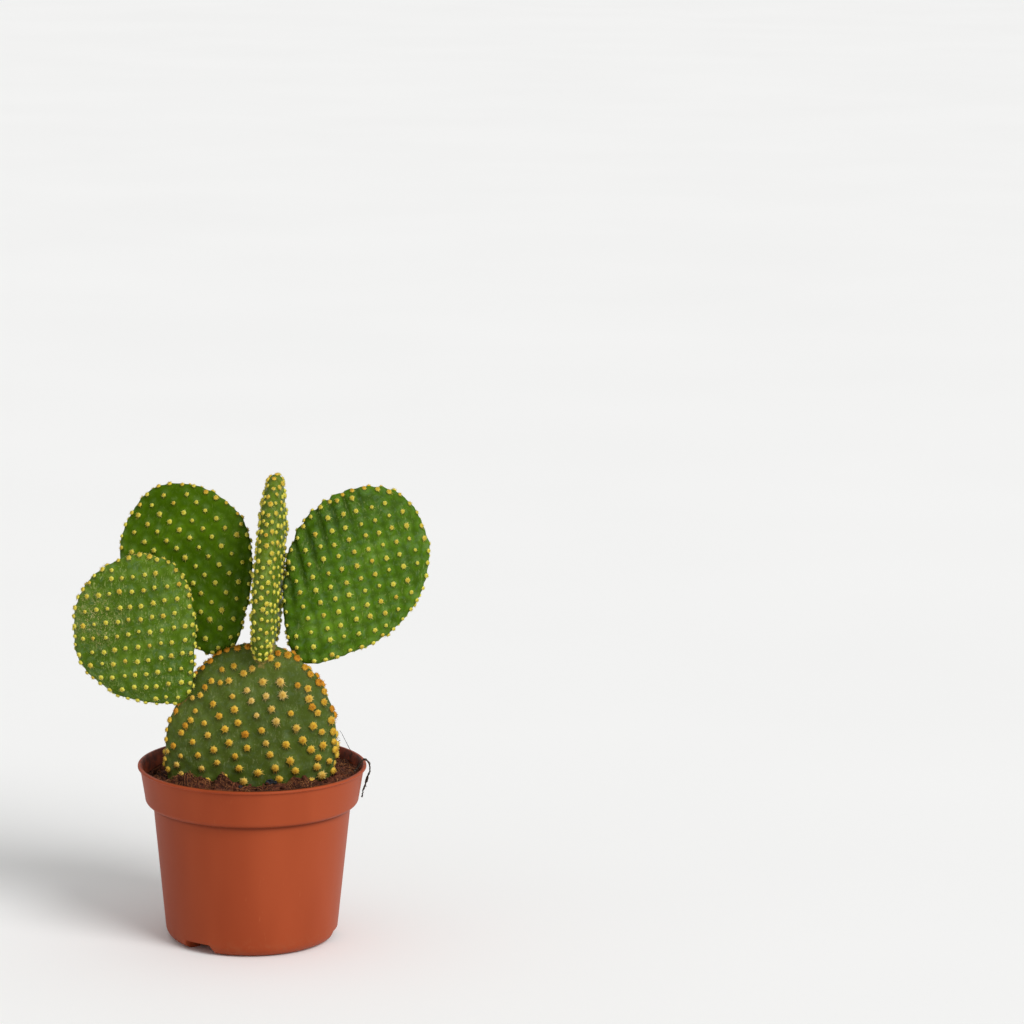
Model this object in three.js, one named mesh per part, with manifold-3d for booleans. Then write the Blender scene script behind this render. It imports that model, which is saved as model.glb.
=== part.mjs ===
// Potted bunny ears cactus: a moulded grower's pot, its soil, one old pad standing in the soil and
// four younger pads, the ears, that grow from the old pad's rim. Millimetres, +Z up, +X to the right
// seen from the front. The origin is the middle of the pot's foot, on the surface it stands on.

import * as THREE from 'three';
import { mergeVertices } from 'three/addons/utils/BufferGeometryUtils.js';
import Module from 'manifold-3d';

const wasm = await Module();
wasm.setup();

// Driving dimensions

const GAP = 0.3; // clearance between pieces that touch

const POT = {
  rimRadius: 60, // over the lip
  height: 92.9,
  wall: 1.3,
  bodyRadiusAtFoot: 44.8, // of the tapered body, carried down to the ground
  bodyTaper: 0.099, // growth of the radius for each millimetre of height
  footCorner: 6.5, // rounding between the body and the foot ring
  footInner: 34.5, // inner radius of the ring that the pot stands on
  footRound: 2, // bend between that ring and the floor
  floorLift: 5, // height of the floor over the ground
  collarFoot: 71.9, // where the collar starts to step out of the body
  collarTurn: 75.2, // where the step has reached the collar's face
  collarRadius: 56.1, // of the collar's face at its turn
  collarTop: 58.7, // of the collar's face just under the lip
  lipHeight: 1.8,
  lipRound: 0.6,
  segments: 40,
};

const NOTCH = {
  count: 3,
  firstAzimuth: -39.3, // degrees from the front, positive towards +X
  halfAngle: 9.2,
  flare: 3, // degrees that each end slopes outwards down to the ground
  round: 2.5, // bend between each end and the roof
  height: 5.6,
  inner: 29, // radius where the notch runs out under the floor
};

const DRAIN = { count: 6, ring: 20, radius: 4, depth: 6, sides: 10 };

const SOIL = {
  level: 86,
  slope: 0.03, // rise for each millimetre towards +X
  edgeLow: 83, // lowest place of the edge, where the pot's wall is nearest to it
  mound: 3.2, // extra height against the old pad
  moundReach: 26, // how far from the pad the mound fades out
  moundMiddle: 2, // of the pad's trace that the mound follows
  moundHalfWidth: 38,
  lumps: 0.8,
  rings: [50, 43, 34, 24, 12],
};

// Tufts of barbed hairs: staggered rows on both faces of a pad, and a zigzag round its rim
const TUFTS = {
  root: 1.2, // depth of a tuft's root in the skin
  jitter: 0.1, // of the spacing
  faceShare: 0.93, // of the way to the rim that the rows fill
  zigzag: 0.2, // radians that a rim tuft stands to one side of the rim
  lowest: 94, // height over the ground, clear of the soil
  clearOfEar: 4, // from an ear's skin to a tuft on the old pad
  clearOfOldPad: 2.2, // from the old pad's skin to a tuft on an ear
};

// Rings of a pad's skin, in degrees from the middle of its front face, with the rim at 90
const SKIN_RINGS = [28, 52, 73, 90, 107, 128, 152];

// A pad's outline is an egg, with along = length (1 - cos t) / 2 and
// across = width / 2 sin t (1 - egg cos t + blunt cos^2 t), its foot swung sideways by sweep.
// Its turn is about its own axis, and then it leans back and to the side from its root.
const OLD_PAD = {
  name: 'pad_main',
  root: [-12, -12, 45],
  length: 116.5,
  width: 88.5,
  thickness: 24,
  egg: 0,
  blunt: 0,
  sweep: 2,
  lean: 10.5,
  leanBack: 0,
  turn: -6,
  bow: 0,
  fullness: 0.85,
  steps: 26,
  color: 0x3e5a2c,
  tufts: { radius: 2.1, height: 2.2, spacing: 12, rim: 8, rowAngle: 12, sides: 4, domed: true },
};

const EAR_TUFTS = { radius: 1.3, height: 1.6, spacing: 10.2, rim: 8.2, sides: 3, domed: false };

const EARS = [
  {
    name: 'ear_front_left',
    root: [-24, -17, 146],
    length: 76.7,
    width: 75.5,
    thickness: 12.5,
    egg: 0.28,
    blunt: -0.25,
    sweep: -19,
    lean: -52.5,
    leanBack: 4,
    turn: -11,
    bow: 2,
    fullness: 0.8,
    steps: 22,
    color: 0x5a8a30,
    tufts: { ...EAR_TUFTS, rowAngle: 25 },
  },
  {
    name: 'ear_back_left',
    root: [-12, -5, 153.5],
    length: 94.6,
    width: 69.2,
    thickness: 12.5,
    egg: 0.25,
    blunt: -0.25,
    sweep: -2,
    lean: -24.5,
    leanBack: 16,
    turn: -4,
    bow: -3,
    fullness: 0.8,
    steps: 22,
    color: 0x4b7a24,
    tufts: { ...EAR_TUFTS, rowAngle: -8 },
  },
  {
    name: 'ear_middle',
    root: [5.6, -10, 149],
    length: 98.5,
    width: 59,
    thickness: 11,
    egg: -0.1,
    blunt: 0.1,
    sweep: 0,
    lean: 3.6,
    leanBack: 3,
    turn: 83,
    bow: 0,
    fullness: 0.35,
    steps: 22,
    color: 0x5f8f38,
    tufts: { ...EAR_TUFTS, rowAngle: 10 },
  },
  {
    name: 'ear_right',
    root: [21.6, -8, 151.6],
    length: 102.3,
    width: 73.8,
    thickness: 13,
    egg: 0.22,
    blunt: -0.25,
    sweep: 3,
    lean: 34.5,
    leanBack: 14,
    turn: 4,
    bow: -3,
    fullness: 0.8,
    steps: 22,
    color: 0x4f8024,
    tufts: { ...EAR_TUFTS, rowAngle: 18 },
  },
];

// A dead root that hangs over the rim at the right
const ROOT_HAIR = {
  radius: 0.55,
  sides: 5,
  steps: 16,
  route: [
    [53.5, -7, 89.9], [55, -6.2, 91.7], [57, -5.6, 94.8], [59.2, -5.2, 96.2], [61.2, -5, 94.2],
    [61.6, -5, 90], [60.4, -5.2, 87], [59.2, -5.5, 82.6], [57.9, -6, 78], [57.5, -6.3, 76],
  ],
};

const DEG = Math.PI / 180;
const TAU = Math.PI * 2;
const ROW_STEP = Math.sqrt(3) / 2; // of staggered rows, in spacings

// Solids

function solidFrom(geometry) {
  const bare = geometry.clone();
  bare.deleteAttribute('normal');
  bare.deleteAttribute('uv');
  const merged = mergeVertices(bare, 1e-4);
  return new wasm.Manifold(new wasm.Mesh({
    numProp: 3,
    vertProperties: merged.attributes.position.array,
    triVerts: new Uint32Array(merged.index.array),
  }));
}

function geometryFrom(solid) {
  const { vertProperties, triVerts } = solid.getMesh();
  const geometry = new THREE.BufferGeometry();
  geometry.setAttribute('position', new THREE.BufferAttribute(vertProperties, 3));
  geometry.setIndex(new THREE.BufferAttribute(triVerts, 1));
  geometry.computeVertexNormals();
  return geometry;
}

function largestBody(solid) {
  const bodies = solid.decompose();
  return bodies.reduce((best, body) => (body.volume() > best.volume() ? body : best));
}

// A closed skin through rings of points that turn the same way, between two pole points
function closedRings(rings, firstPole, lastPole) {
  const count = rings[0].length;
  const points = [firstPole, ...rings.flat(), lastPole];
  const index = [];
  const at = (ring, i) => 1 + ring * count + (i % count);
  for (let i = 0; i < count; i++) {
    index.push(0, at(0, i + 1), at(0, i));
    index.push(points.length - 1, at(rings.length - 1, i), at(rings.length - 1, i + 1));
    for (let ring = 0; ring < rings.length - 1; ring++) {
      index.push(at(ring, i), at(ring, i + 1), at(ring + 1, i));
      index.push(at(ring, i + 1), at(ring + 1, i + 1), at(ring + 1, i));
    }
  }
  const geometry = new THREE.BufferGeometry().setFromPoints(points);
  geometry.setIndex(index);
  return geometry;
}

// A repeatable draw between -1 and 1
function draw(seed) {
  const wave = Math.sin(seed * 12.9898) * 43758.5453;
  return 2 * (wave - Math.floor(wave)) - 1;
}

// Pads

function placement(pad) {
  const turn = new THREE.Euler(-pad.leanBack * DEG, pad.lean * DEG, pad.turn * DEG, 'YXZ');
  return new THREE.Matrix4()
    .makeRotationFromEuler(turn)
    .setPosition(new THREE.Vector3(...pad.root));
}

function eggWidth(pad, t) {
  const c = Math.cos(t);
  return Math.sin(t) * (1 - pad.egg * c + pad.blunt * c * c);
}

function widestEgg(pad) {
  let widest = 0;
  for (let t = 0; t < Math.PI; t += DEG) widest = Math.max(widest, eggWidth(pad, t));
  return widest;
}

for (const pad of [OLD_PAD, ...EARS]) pad.widest = widestEgg(pad);

// The outline as [across, along] at t, from the foot (0) round by the tip (pi)
function outlineAt(pad, t) {
  const up = (1 - Math.cos(t)) / 2;
  const across = (pad.width / 2) * (eggWidth(pad, t) / pad.widest);
  return [across + pad.sweep * (1 - up) ** 2, pad.length * up];
}

function padCentre(pad) {
  return [pad.sweep / 4, pad.length / 2];
}

// A point of the pad's skin: psi is 0 in the middle of the front face, 90 degrees on the rim and
// 180 degrees in the middle of the back face
function skinPoint(pad, t, psi) {
  const [across, along] = outlineAt(pad, t);
  const [midAcross, midAlong] = padCentre(pad);
  const share = Math.sin(psi) ** pad.fullness;
  const x = midAcross + share * (across - midAcross);
  const z = midAlong + share * (along - midAlong);
  return new THREE.Vector3(x, bowAt(pad, z) - (Math.cos(psi) * pad.thickness) / 2, z);
}

function bowAt(pad, along) {
  return pad.bow * (1 - ((2 * along) / pad.length - 1) ** 2);
}

function skinNormal(pad, t, psi) {
  const step = 0.02;
  const inside = THREE.MathUtils.clamp(psi, 2 * step, Math.PI - 2 * step);
  const alongT = skinPoint(pad, t + step, inside).sub(skinPoint(pad, t - step, inside));
  const alongPsi = skinPoint(pad, t, inside + step).sub(skinPoint(pad, t, inside - step));
  return alongPsi.cross(alongT).normalize();
}

// The bare pad, with its skin moved outwards by grow
function padBody(pad, grow = 0) {
  const point = (t, psi) => skinPoint(pad, t, psi).addScaledVector(skinNormal(pad, t, psi), grow);
  const rings = [];
  for (const degrees of [...SKIN_RINGS].reverse()) {
    const row = [];
    for (let i = 0; i < pad.steps; i++) row.push(point((TAU * i) / pad.steps, degrees * DEG));
    rings.push(row);
  }
  return closedRings(rings, point(0, Math.PI), point(0, 0));
}

// The angle t and the share of the way from the centre to the rim for a point of the face
function facePlace(pad, across, along) {
  const [midAcross, midAlong] = padCentre(pad);
  const wanted = Math.atan2(across - midAcross, midAlong - along);
  let low = wanted - 1;
  let high = wanted + 1;
  const angleAt = (t) => {
    const [x, z] = outlineAt(pad, t);
    const angle = Math.atan2(x - midAcross, midAlong - z);
    return angle + TAU * Math.round((wanted - angle) / TAU);
  };
  for (let i = 0; i < 24; i++) {
    const middle = (low + high) / 2;
    if (angleAt(middle) < wanted) low = middle;
    else high = middle;
  }
  const [rimAcross, rimAlong] = outlineAt(pad, low);
  const reach = Math.hypot(rimAcross - midAcross, rimAlong - midAlong);
  return { t: low, share: Math.hypot(across - midAcross, along - midAlong) / reach };
}

// Places of the tufts on both faces as { t, psi }
function facePlaces(pad) {
  const { spacing, rowAngle } = pad.tufts;
  const places = [];
  const turn = rowAngle * DEG;
  const [midAcross, midAlong] = padCentre(pad);
  const count = Math.ceil(pad.length / spacing);
  for (const side of [1, -1]) {
    for (let row = -count; row <= count; row++) {
      for (let column = -count; column <= count; column++) {
        const seed = 97 * row + 13 * column + 7 * side;
        const x = spacing * (column + (row % 2) / 2 + TUFTS.jitter * draw(seed));
        const z = spacing * (row * ROW_STEP + TUFTS.jitter * draw(seed + 0.5));
        const across = midAcross + x * Math.cos(turn) - z * Math.sin(turn);
        const along = midAlong + x * Math.sin(turn) + z * Math.cos(turn);
        const { t, share } = facePlace(pad, across, along);
        if (share > TUFTS.faceShare) continue;
        const psi = Math.asin(share ** (1 / pad.fullness));
        places.push({ t, psi: side > 0 ? psi : Math.PI - psi });
      }
    }
  }
  return places;
}

// Places of the tufts round the rim, evenly along it
function rimPlaces(pad) {
  const steps = 720;
  const places = [];
  let walked = 0;
  for (let i = 0; i < steps; i++) {
    const t = (TAU * i) / steps;
    const here = outlineAt(pad, t);
    const next = outlineAt(pad, t + TAU / steps);
    walked += Math.hypot(next[0] - here[0], next[1] - here[1]);
    if (walked < (places.length + 0.5) * pad.tufts.rim) continue;
    const side = places.length % 2 ? 1 : -1;
    places.push({ t, psi: Math.PI / 2 + side * TUFTS.zigzag });
  }
  return places;
}

// Whether a point of the plant lies inside a pad, or nearer than margin to its skin
function nearPad(pad, point, margin) {
  const at = point.clone().applyMatrix4(placement(pad).invert());
  const { share } = facePlace(pad, at.x, at.z);
  const inside = Math.min(share, 1) ** (1 / pad.fullness);
  const half = (pad.thickness / 2) * Math.sqrt(1 - inside ** 2);
  const outside = Math.max(share - 1, 0) * (pad.width / 2);
  return outside < margin && Math.abs(at.y - bowAt(pad, at.z)) < half + margin;
}

// A small cone, or a domed cone on the old pad, whose root is sunk into the skin
function tuft(pad, { t, psi }) {
  const { radius, height, sides, domed } = pad.tufts;
  const foot = domed ? radius : radius * (1 + TUFTS.root / height);
  const profile = [[0, -TUFTS.root], [foot, -TUFTS.root]];
  if (domed) profile.push([0.8 * radius, 0.6 * height]);
  profile.push([0, height]);
  const shape = new THREE.LatheGeometry(profile.map(([r, y]) => new THREE.Vector2(r, y)), sides);
  const up = new THREE.Vector3(0, 1, 0);
  shape.applyQuaternion(new THREE.Quaternion().setFromUnitVectors(up, skinNormal(pad, t, psi)));
  const base = skinPoint(pad, t, psi);
  shape.translate(base.x, base.y, base.z);
  return solidFrom(shape);
}

// The pad with its tufts, in its own frame, bare where the soil or another pad meets it
function tuftedPad(pad, others, margin) {
  const place = placement(pad);
  const shapes = [solidFrom(padBody(pad))];
  for (const at of [...facePlaces(pad), ...rimPlaces(pad)]) {
    const point = skinPoint(pad, at.t, at.psi).applyMatrix4(place);
    const covered = others.some((other) => nearPad(other, point, margin));
    if (point.z > TUFTS.lowest && !covered) shapes.push(tuft(pad, at));
  }
  return wasm.Manifold.union(shapes);
}

function inWorld(solid, pad) {
  return solid.transform(placement(pad).elements);
}

function inPadFrame(solid, pad) {
  return solid.transform(placement(pad).invert().elements);
}

// Pot

function bodyRadius(z) {
  return POT.bodyRadiusAtFoot + POT.bodyTaper * z;
}

// The side from the foot ring to the lip, moved inwards by inset, with bends of so many steps
function potSide(inset, cornerSteps, stepSteps) {
  const corner = POT.footCorner;
  const points = [];
  for (let i = 0; i <= cornerSteps; i++) {
    const angle = (Math.PI / 2) * (i / cornerSteps);
    const out = (corner - inset) * Math.sin(angle);
    const down = (corner - inset) * Math.cos(angle);
    points.push([bodyRadius(corner) - corner + out, corner - down]);
  }
  const rise = POT.collarTurn - POT.collarFoot;
  const depth = POT.collarRadius - bodyRadius(POT.collarFoot);
  for (let i = 0; i <= stepSteps; i++) {
    const angle = (Math.PI / 2) * (i / stepSteps);
    const radius = bodyRadius(POT.collarFoot) + depth * Math.sin(angle) - inset;
    points.push([radius, POT.collarFoot + rise * (1 - Math.cos(angle))]);
  }
  points.push([POT.collarTop - inset, POT.height - POT.lipHeight]);
  return points;
}

function potProfile() {
  const lipFoot = POT.height - POT.lipHeight + POT.lipRound;
  const floorTop = POT.floorLift + POT.wall;
  const channel = POT.footInner + POT.wall;
  return [
    [0, POT.floorLift],
    [POT.footInner - POT.footRound, POT.floorLift],
    [POT.footInner, POT.floorLift - POT.footRound],
    [POT.footInner, 0],
    ...potSide(0, 3, 3),
    [POT.rimRadius, lipFoot],
    [POT.rimRadius, POT.height - POT.lipRound],
    [POT.rimRadius - POT.lipRound, POT.height],
    [POT.rimRadius - POT.wall - POT.lipRound, POT.height],
    ...potSide(POT.wall, 1, 2).reverse(),
    [channel, POT.wall],
    [channel, floorTop - POT.footRound],
    [channel - POT.footRound, floorTop],
    [0, floorTop],
  ];
}

function lathe(profile, segments) {
  const points = profile.map(([r, z]) => new THREE.Vector2(r, z));
  return new THREE.LatheGeometry(points, segments).rotateX(Math.PI / 2);
}

// A block under the foot with sloping ends, as large as the notch and grown on each side
function notchBlock(azimuth, grow) {
  const inner = NOTCH.inner - grow;
  const outer = POT.bodyRadiusAtFoot + POT.footCorner;
  const below = 1;
  const top = NOTCH.height + grow;
  const middle = (inner + outer) / 2;
  const half = middle * Math.sin(NOTCH.halfAngle * DEG) + grow;
  const foot = middle * Math.sin((NOTCH.halfAngle + NOTCH.flare) * DEG) + grow;
  const shape = new THREE.Shape();
  shape.moveTo(-foot, -below);
  shape.lineTo(foot, -below);
  shape.lineTo(foot, 0);
  shape.quadraticCurveTo(half, top, half - NOTCH.round, top);
  shape.lineTo(NOTCH.round - half, top);
  shape.quadraticCurveTo(-half, top, -foot, 0);
  shape.closePath();
  const settings = { depth: outer - inner, bevelEnabled: false, curveSegments: 3 };
  const block = new THREE.ExtrudeGeometry(shape, settings);
  block.rotateX(Math.PI / 2);
  block.translate(0, -inner, 0);
  block.rotateZ(azimuth * DEG);
  return solidFrom(block);
}

function notches(grow) {
  const blocks = [];
  for (let i = 0; i < NOTCH.count; i++) {
    blocks.push(notchBlock(NOTCH.firstAzimuth + (360 / NOTCH.count) * i, grow));
  }
  return wasm.Manifold.union(blocks);
}

function drainHoles() {
  const holes = [];
  for (let i = 0; i < DRAIN.count; i++) {
    const hole = new THREE.CylinderGeometry(DRAIN.radius, DRAIN.radius, DRAIN.depth, DRAIN.sides);
    const angle = (TAU * (i + 0.5)) / DRAIN.count;
    hole.rotateX(Math.PI / 2);
    hole.translate(DRAIN.ring * Math.cos(angle), DRAIN.ring * Math.sin(angle), POT.floorLift);
    holes.push(solidFrom(hole));
  }
  return wasm.Manifold.union(holes);
}

// A wall of even thickness, which steps inwards over each notch
function potSolid() {
  const skin = solidFrom(lathe(potProfile(), POT.segments));
  const outline = [[0, 0], ...potSide(0, 3, 3), [0, POT.height - POT.lipHeight]];
  const saddles = notches(POT.wall).intersect(solidFrom(lathe(outline, POT.segments)));
  return largestBody(skin.add(saddles).subtract(notches(0)).subtract(drainHoles()));
}

// Soil

function soilHeight(x, y) {
  const besidePad = Math.max(Math.abs(x - SOIL.moundMiddle) - SOIL.moundHalfWidth, 0);
  const away = Math.hypot(besidePad, y - OLD_PAD.root[1]);
  const mound = SOIL.mound * Math.max(1 - away / SOIL.moundReach, 0);
  const lumps = Math.sin(0.31 * x + 0.9) * Math.cos(0.37 * y) + 0.5 * Math.sin(0.83 * x - 0.6 * y);
  return SOIL.level + SOIL.slope * x + mound + SOIL.lumps * lumps;
}

// A ring of soil points at one height, or on the soil's lumpy top where no height is given
function soilRing(radius, height) {
  const row = [];
  for (let i = 0; i < POT.segments; i++) {
    const angle = (TAU * i) / POT.segments;
    const x = radius * Math.sin(angle);
    const y = -radius * Math.cos(angle);
    row.push(new THREE.Vector3(x, y, height ?? soilHeight(x, y)));
  }
  return row;
}

// The filling up to its top, with a plain hole that the old pad's buried foot stands in
function soilSolid() {
  const side = potSide(POT.wall + GAP, 1, 2);
  const [turn, top] = side.slice(-2);
  const share = (SOIL.edgeLow - turn[1]) / (top[1] - turn[1]);
  const edge = turn[0] + share * (top[0] - turn[0]);
  const floor = POT.floorLift + POT.wall + GAP;
  const rings = [soilRing(POT.footInner - POT.footRound, floor), soilRing(side[1][0], floor + 1)];
  for (const [radius, z] of side.slice(2, -1)) rings.push(soilRing(radius, z));
  for (const radius of [edge, ...SOIL.rings]) rings.push(soilRing(radius));
  const foot = new THREE.Vector3(0, 0, floor);
  const block = solidFrom(closedRings(rings, foot, new THREE.Vector3(0, 0, soilHeight(0, 0))));
  const hole = inWorld(solidFrom(padBody(OLD_PAD, GAP)), OLD_PAD);
  return largestBody(block.subtract(hole).subtract(notches(POT.wall + GAP)));
}

// The dead root over the rim

function rootSolid() {
  const { radius, sides, steps, route } = ROOT_HAIR;
  const curve = new THREE.CatmullRomCurve3(route.map((place) => new THREE.Vector3(...place)));
  const section = [];
  for (let i = 0; i < sides; i++) {
    const angle = (TAU * i) / sides;
    section.push(new THREE.Vector2(radius * Math.cos(angle), radius * Math.sin(angle)));
  }
  const settings = { steps, extrudePath: curve };
  return solidFrom(new THREE.ExtrudeGeometry(new THREE.Shape(section), settings));
}

// Assembly

const plant = new THREE.Group();

function addPiece(name, solid, color, roughness) {
  const material = new THREE.MeshStandardMaterial({ color, roughness, metalness: 0 });
  const mesh = new THREE.Mesh(geometryFrom(solid), material);
  mesh.name = name;
  plant.add(mesh);
  return mesh;
}

addPiece('pot', potSolid(), 0xa04a2a, 0.5);
addPiece('soil', soilSolid(), 0x3a2a20, 0.95);
addPiece('stray_root', rootSolid(), 0x4a3426, 0.9);

const oldPad = addPiece(OLD_PAD.name, tuftedPad(OLD_PAD, EARS, TUFTS.clearOfEar), OLD_PAD.color, 0.6);
oldPad.applyMatrix4(placement(OLD_PAD));

// Each ear's foot is sunk into the old pad's rim and cut back to it
const seat = inWorld(solidFrom(padBody(OLD_PAD, GAP)), OLD_PAD);
for (const pad of EARS) {
  const whole = tuftedPad(pad, [OLD_PAD], TUFTS.clearOfOldPad);
  const ear = addPiece(pad.name, largestBody(whole.subtract(inPadFrame(seat, pad))), pad.color, 0.6);
  ear.applyMatrix4(placement(pad));
}

export default plant;
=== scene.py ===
"""Potted bunny ears cactus: an old pad with four younger pads on its rim, in a grower's pot.

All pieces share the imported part's frame: +Z up, +X to the right seen from the front, and the pot's
foot ring on the floor at Z = 0. Sizes are in millimetres until a piece is placed, then in metres.
"""
import logging
import math
import random
from collections.abc import Iterable, Sequence
from dataclasses import dataclass, field
from enum import Enum

import bmesh
import bpy
import numpy as np
from mathutils import Matrix, Vector, noise


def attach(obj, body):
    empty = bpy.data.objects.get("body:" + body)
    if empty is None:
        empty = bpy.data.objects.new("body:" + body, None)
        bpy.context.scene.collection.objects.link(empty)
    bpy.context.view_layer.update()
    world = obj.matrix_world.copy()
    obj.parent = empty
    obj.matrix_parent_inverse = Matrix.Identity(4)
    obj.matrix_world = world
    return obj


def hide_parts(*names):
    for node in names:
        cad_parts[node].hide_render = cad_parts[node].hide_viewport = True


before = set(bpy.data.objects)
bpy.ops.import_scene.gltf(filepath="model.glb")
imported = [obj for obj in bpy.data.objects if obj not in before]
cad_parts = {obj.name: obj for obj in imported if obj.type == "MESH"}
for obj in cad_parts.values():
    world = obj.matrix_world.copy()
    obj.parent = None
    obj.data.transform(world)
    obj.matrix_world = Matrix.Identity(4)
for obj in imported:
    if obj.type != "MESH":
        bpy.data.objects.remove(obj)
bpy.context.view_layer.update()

log = logging.getLogger("bunny_ears")

Tree = bpy.types.NodeTree
Socket = bpy.types.NodeSocket

MM = 0.001
TAU = 2 * math.pi
BODY = "root"
UP = Vector((0, 0, 1))
RIGHT_ANGLE = math.pi / 2
MERGE_DISTANCE = 0.01 * MM

# Sockets of a Mix node that mixes colours
MIX_FACTOR, MIX_A, MIX_B, MIX_RESULT = 0, 6, 7, 2

# How faded a tuft is: 0 is rusty, this is golden and 1 is faded
GOLDEN_PALE = 0.35


class Slot(Enum):
    """The record's material slots."""

    POT = "terracotta_plastic"
    PEAT = "peat"
    OLD_SKIN = "old_skin"
    YOUNG_SKIN = "young_skin"
    TUFT = "tuft"
    ROOT = "dry_root"


def linear(code: str) -> tuple[float, float, float, float]:
    """Turns an sRGB colour into linear values.

    Args:
        code: The colour as "#rrggbb".

    Returns:
        Red, green, blue and an alpha of 1 for a colour socket.
    """
    shares = [int(code[i : i + 2], 16) / 255 for i in (1, 3, 5)]
    channels = [s / 12.92 if s <= 0.04045 else ((s + 0.055) / 1.055) ** 2.4 for s in shares]
    return (*channels, 1.0)


def per_metre(size: float) -> float:
    """Returns the scale of a pattern on Object coordinates whose features are size mm wide."""
    return 1 / (size * MM)


def add_node(
    tree: Tree,
    kind: str,
    inputs: dict[str | int, object] | None = None,
    stops: Sequence[tuple[float, str]] = (),
    **settings: object,
) -> bpy.types.Node:
    """Adds a node with its settings and links.

    Args:
        tree: The node tree.
        kind: The node's type name, without its Shader prefix.
        inputs: A value or a linked output socket for each input, by name or index.
        stops: Places and sRGB colours of a colour ramp.
        **settings: The node's own properties.

    Returns:
        The new node.
    """
    node = tree.nodes.new(f"ShaderNode{kind}")
    for name, value in settings.items():
        setattr(node, name, value)
    if stops:
        elements = node.color_ramp.elements
        while len(elements) < len(stops):
            elements.new(0.5)
        for element, (place, code) in zip(elements, stops):
            element.position = place
            element.color = linear(code)
    for name, value in (inputs or {}).items():
        if isinstance(value, Socket):
            tree.links.new(value, node.inputs[name])
        else:
            node.inputs[name].default_value = value
    return node


def masked(tree: Tree, value: Socket, low: float, high: float, strength: float = 1.0) -> Socket:
    """Turns a value into a soft mask.

    Args:
        tree: The material's node tree.
        value: The value.
        low: Where the mask starts.
        high: Where it is full.
        strength: Its full height.

    Returns:
        The mask.
    """
    inputs = {"Value": value, "From Min": low, "From Max": high, "To Min": 0.0, "To Max": strength}
    return add_node(tree, "MapRange", inputs, interpolation_type="SMOOTHSTEP").outputs["Result"]


@dataclass(frozen=True)
class Mottle:
    """A noise pattern on Object coordinates."""

    size: float
    detail: float = 3.0
    roughness: float = 0.5
    distortion: float = 0.0

    def add(self, tree: Tree, place: Socket) -> Socket:
        """Adds the pattern.

        Args:
            tree: The material's node tree.
            place: Where the pattern is read.

        Returns:
            Its value, around 0.5.
        """
        inputs = {
            "Vector": place,
            "Scale": per_metre(self.size),
            "Detail": self.detail,
            "Roughness": self.roughness,
            "Distortion": self.distortion,
        }
        return add_node(tree, "TexNoise", inputs).outputs["Fac"]

    def mask(
        self, tree: Tree, place: Socket, low: float, high: float, strength: float = 1.0
    ) -> Socket:
        """Adds the pattern and turns it into a soft mask.

        Args:
            tree: The material's node tree.
            place: Where the pattern is read.
            low: Where the mask starts.
            high: Where it is full.
            strength: Its full height.

        Returns:
            The mask.
        """
        return masked(tree, self.add(tree, place), low, high, strength)


def laid_over(tree: Tree, under: Socket, over: str | Socket, mask: Socket) -> Socket:
    """Lays a colour over another where a mask says.

    Args:
        tree: The material's node tree.
        under: The colour beneath.
        over: The colour on top, as sRGB or a socket.
        mask: Its share.

    Returns:
        The mixed colour.
    """
    top = linear(over) if isinstance(over, str) else over
    inputs = {MIX_FACTOR: mask, MIX_A: under, MIX_B: top}
    return add_node(tree, "Mix", inputs, data_type="RGBA").outputs[MIX_RESULT]


def times(tree: Tree, first: Socket, second: Socket | float) -> Socket:
    """Returns the product of two values as a socket."""
    return add_node(tree, "Math", {0: first, 1: second}, operation="MULTIPLY").outputs["Value"]


def ramp(tree: Tree, value: Socket, stops: Sequence[tuple[float, str]]) -> Socket:
    """Returns the colour that a ramp of places and sRGB colours gives a value."""
    return add_node(tree, "ValToRGB", {"Fac": value}, stops=stops).outputs["Color"]


def ranged(tree: Tree, value: Socket, low: float, high: float) -> Socket:
    """Returns a value of 0 to 1 stretched to a range from low to high."""
    inputs = {"Value": value, "To Min": low, "To Max": high}
    return add_node(tree, "MapRange", inputs).outputs["Result"]


def stored(tree: Tree, name: str) -> Socket:
    """Returns the value that the mesh stores under a name."""
    return add_node(tree, "Attribute", attribute_name=name).outputs["Fac"]


def drawn_out(
    tree: Tree, place: Socket, share: float, turn: tuple[float, float, float] = (0, 0, 0)
) -> Socket:
    """Returns coordinates on which a pattern is drawn out along Z.

    Args:
        tree: The material's node tree.
        place: Object coordinates.
        share: How much of its height is left to Z. A small share makes long streaks.
        turn: How the coordinates are turned, in radians.

    Returns:
        The new coordinates.
    """
    inputs = {"Vector": place, "Scale": (1, 1, share), "Rotation": turn}
    return add_node(tree, "Mapping", inputs).outputs["Vector"]


def bumped(
    tree: Tree, height: Socket, strength: float, depth: float, under: Socket | None = None
) -> Socket:
    """Presses a pattern into a surface's normals.

    Args:
        tree: The material's node tree.
        height: The pattern.
        strength: Its strength.
        depth: Its depth in millimetres.
        under: Normals with a finer pattern that it is added to.

    Returns:
        The new normals.
    """
    inputs = {"Height": height, "Strength": strength, "Distance": depth * MM}
    if under is not None:
        inputs["Normal"] = under
    return add_node(tree, "Bump", inputs).outputs["Normal"]


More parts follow.
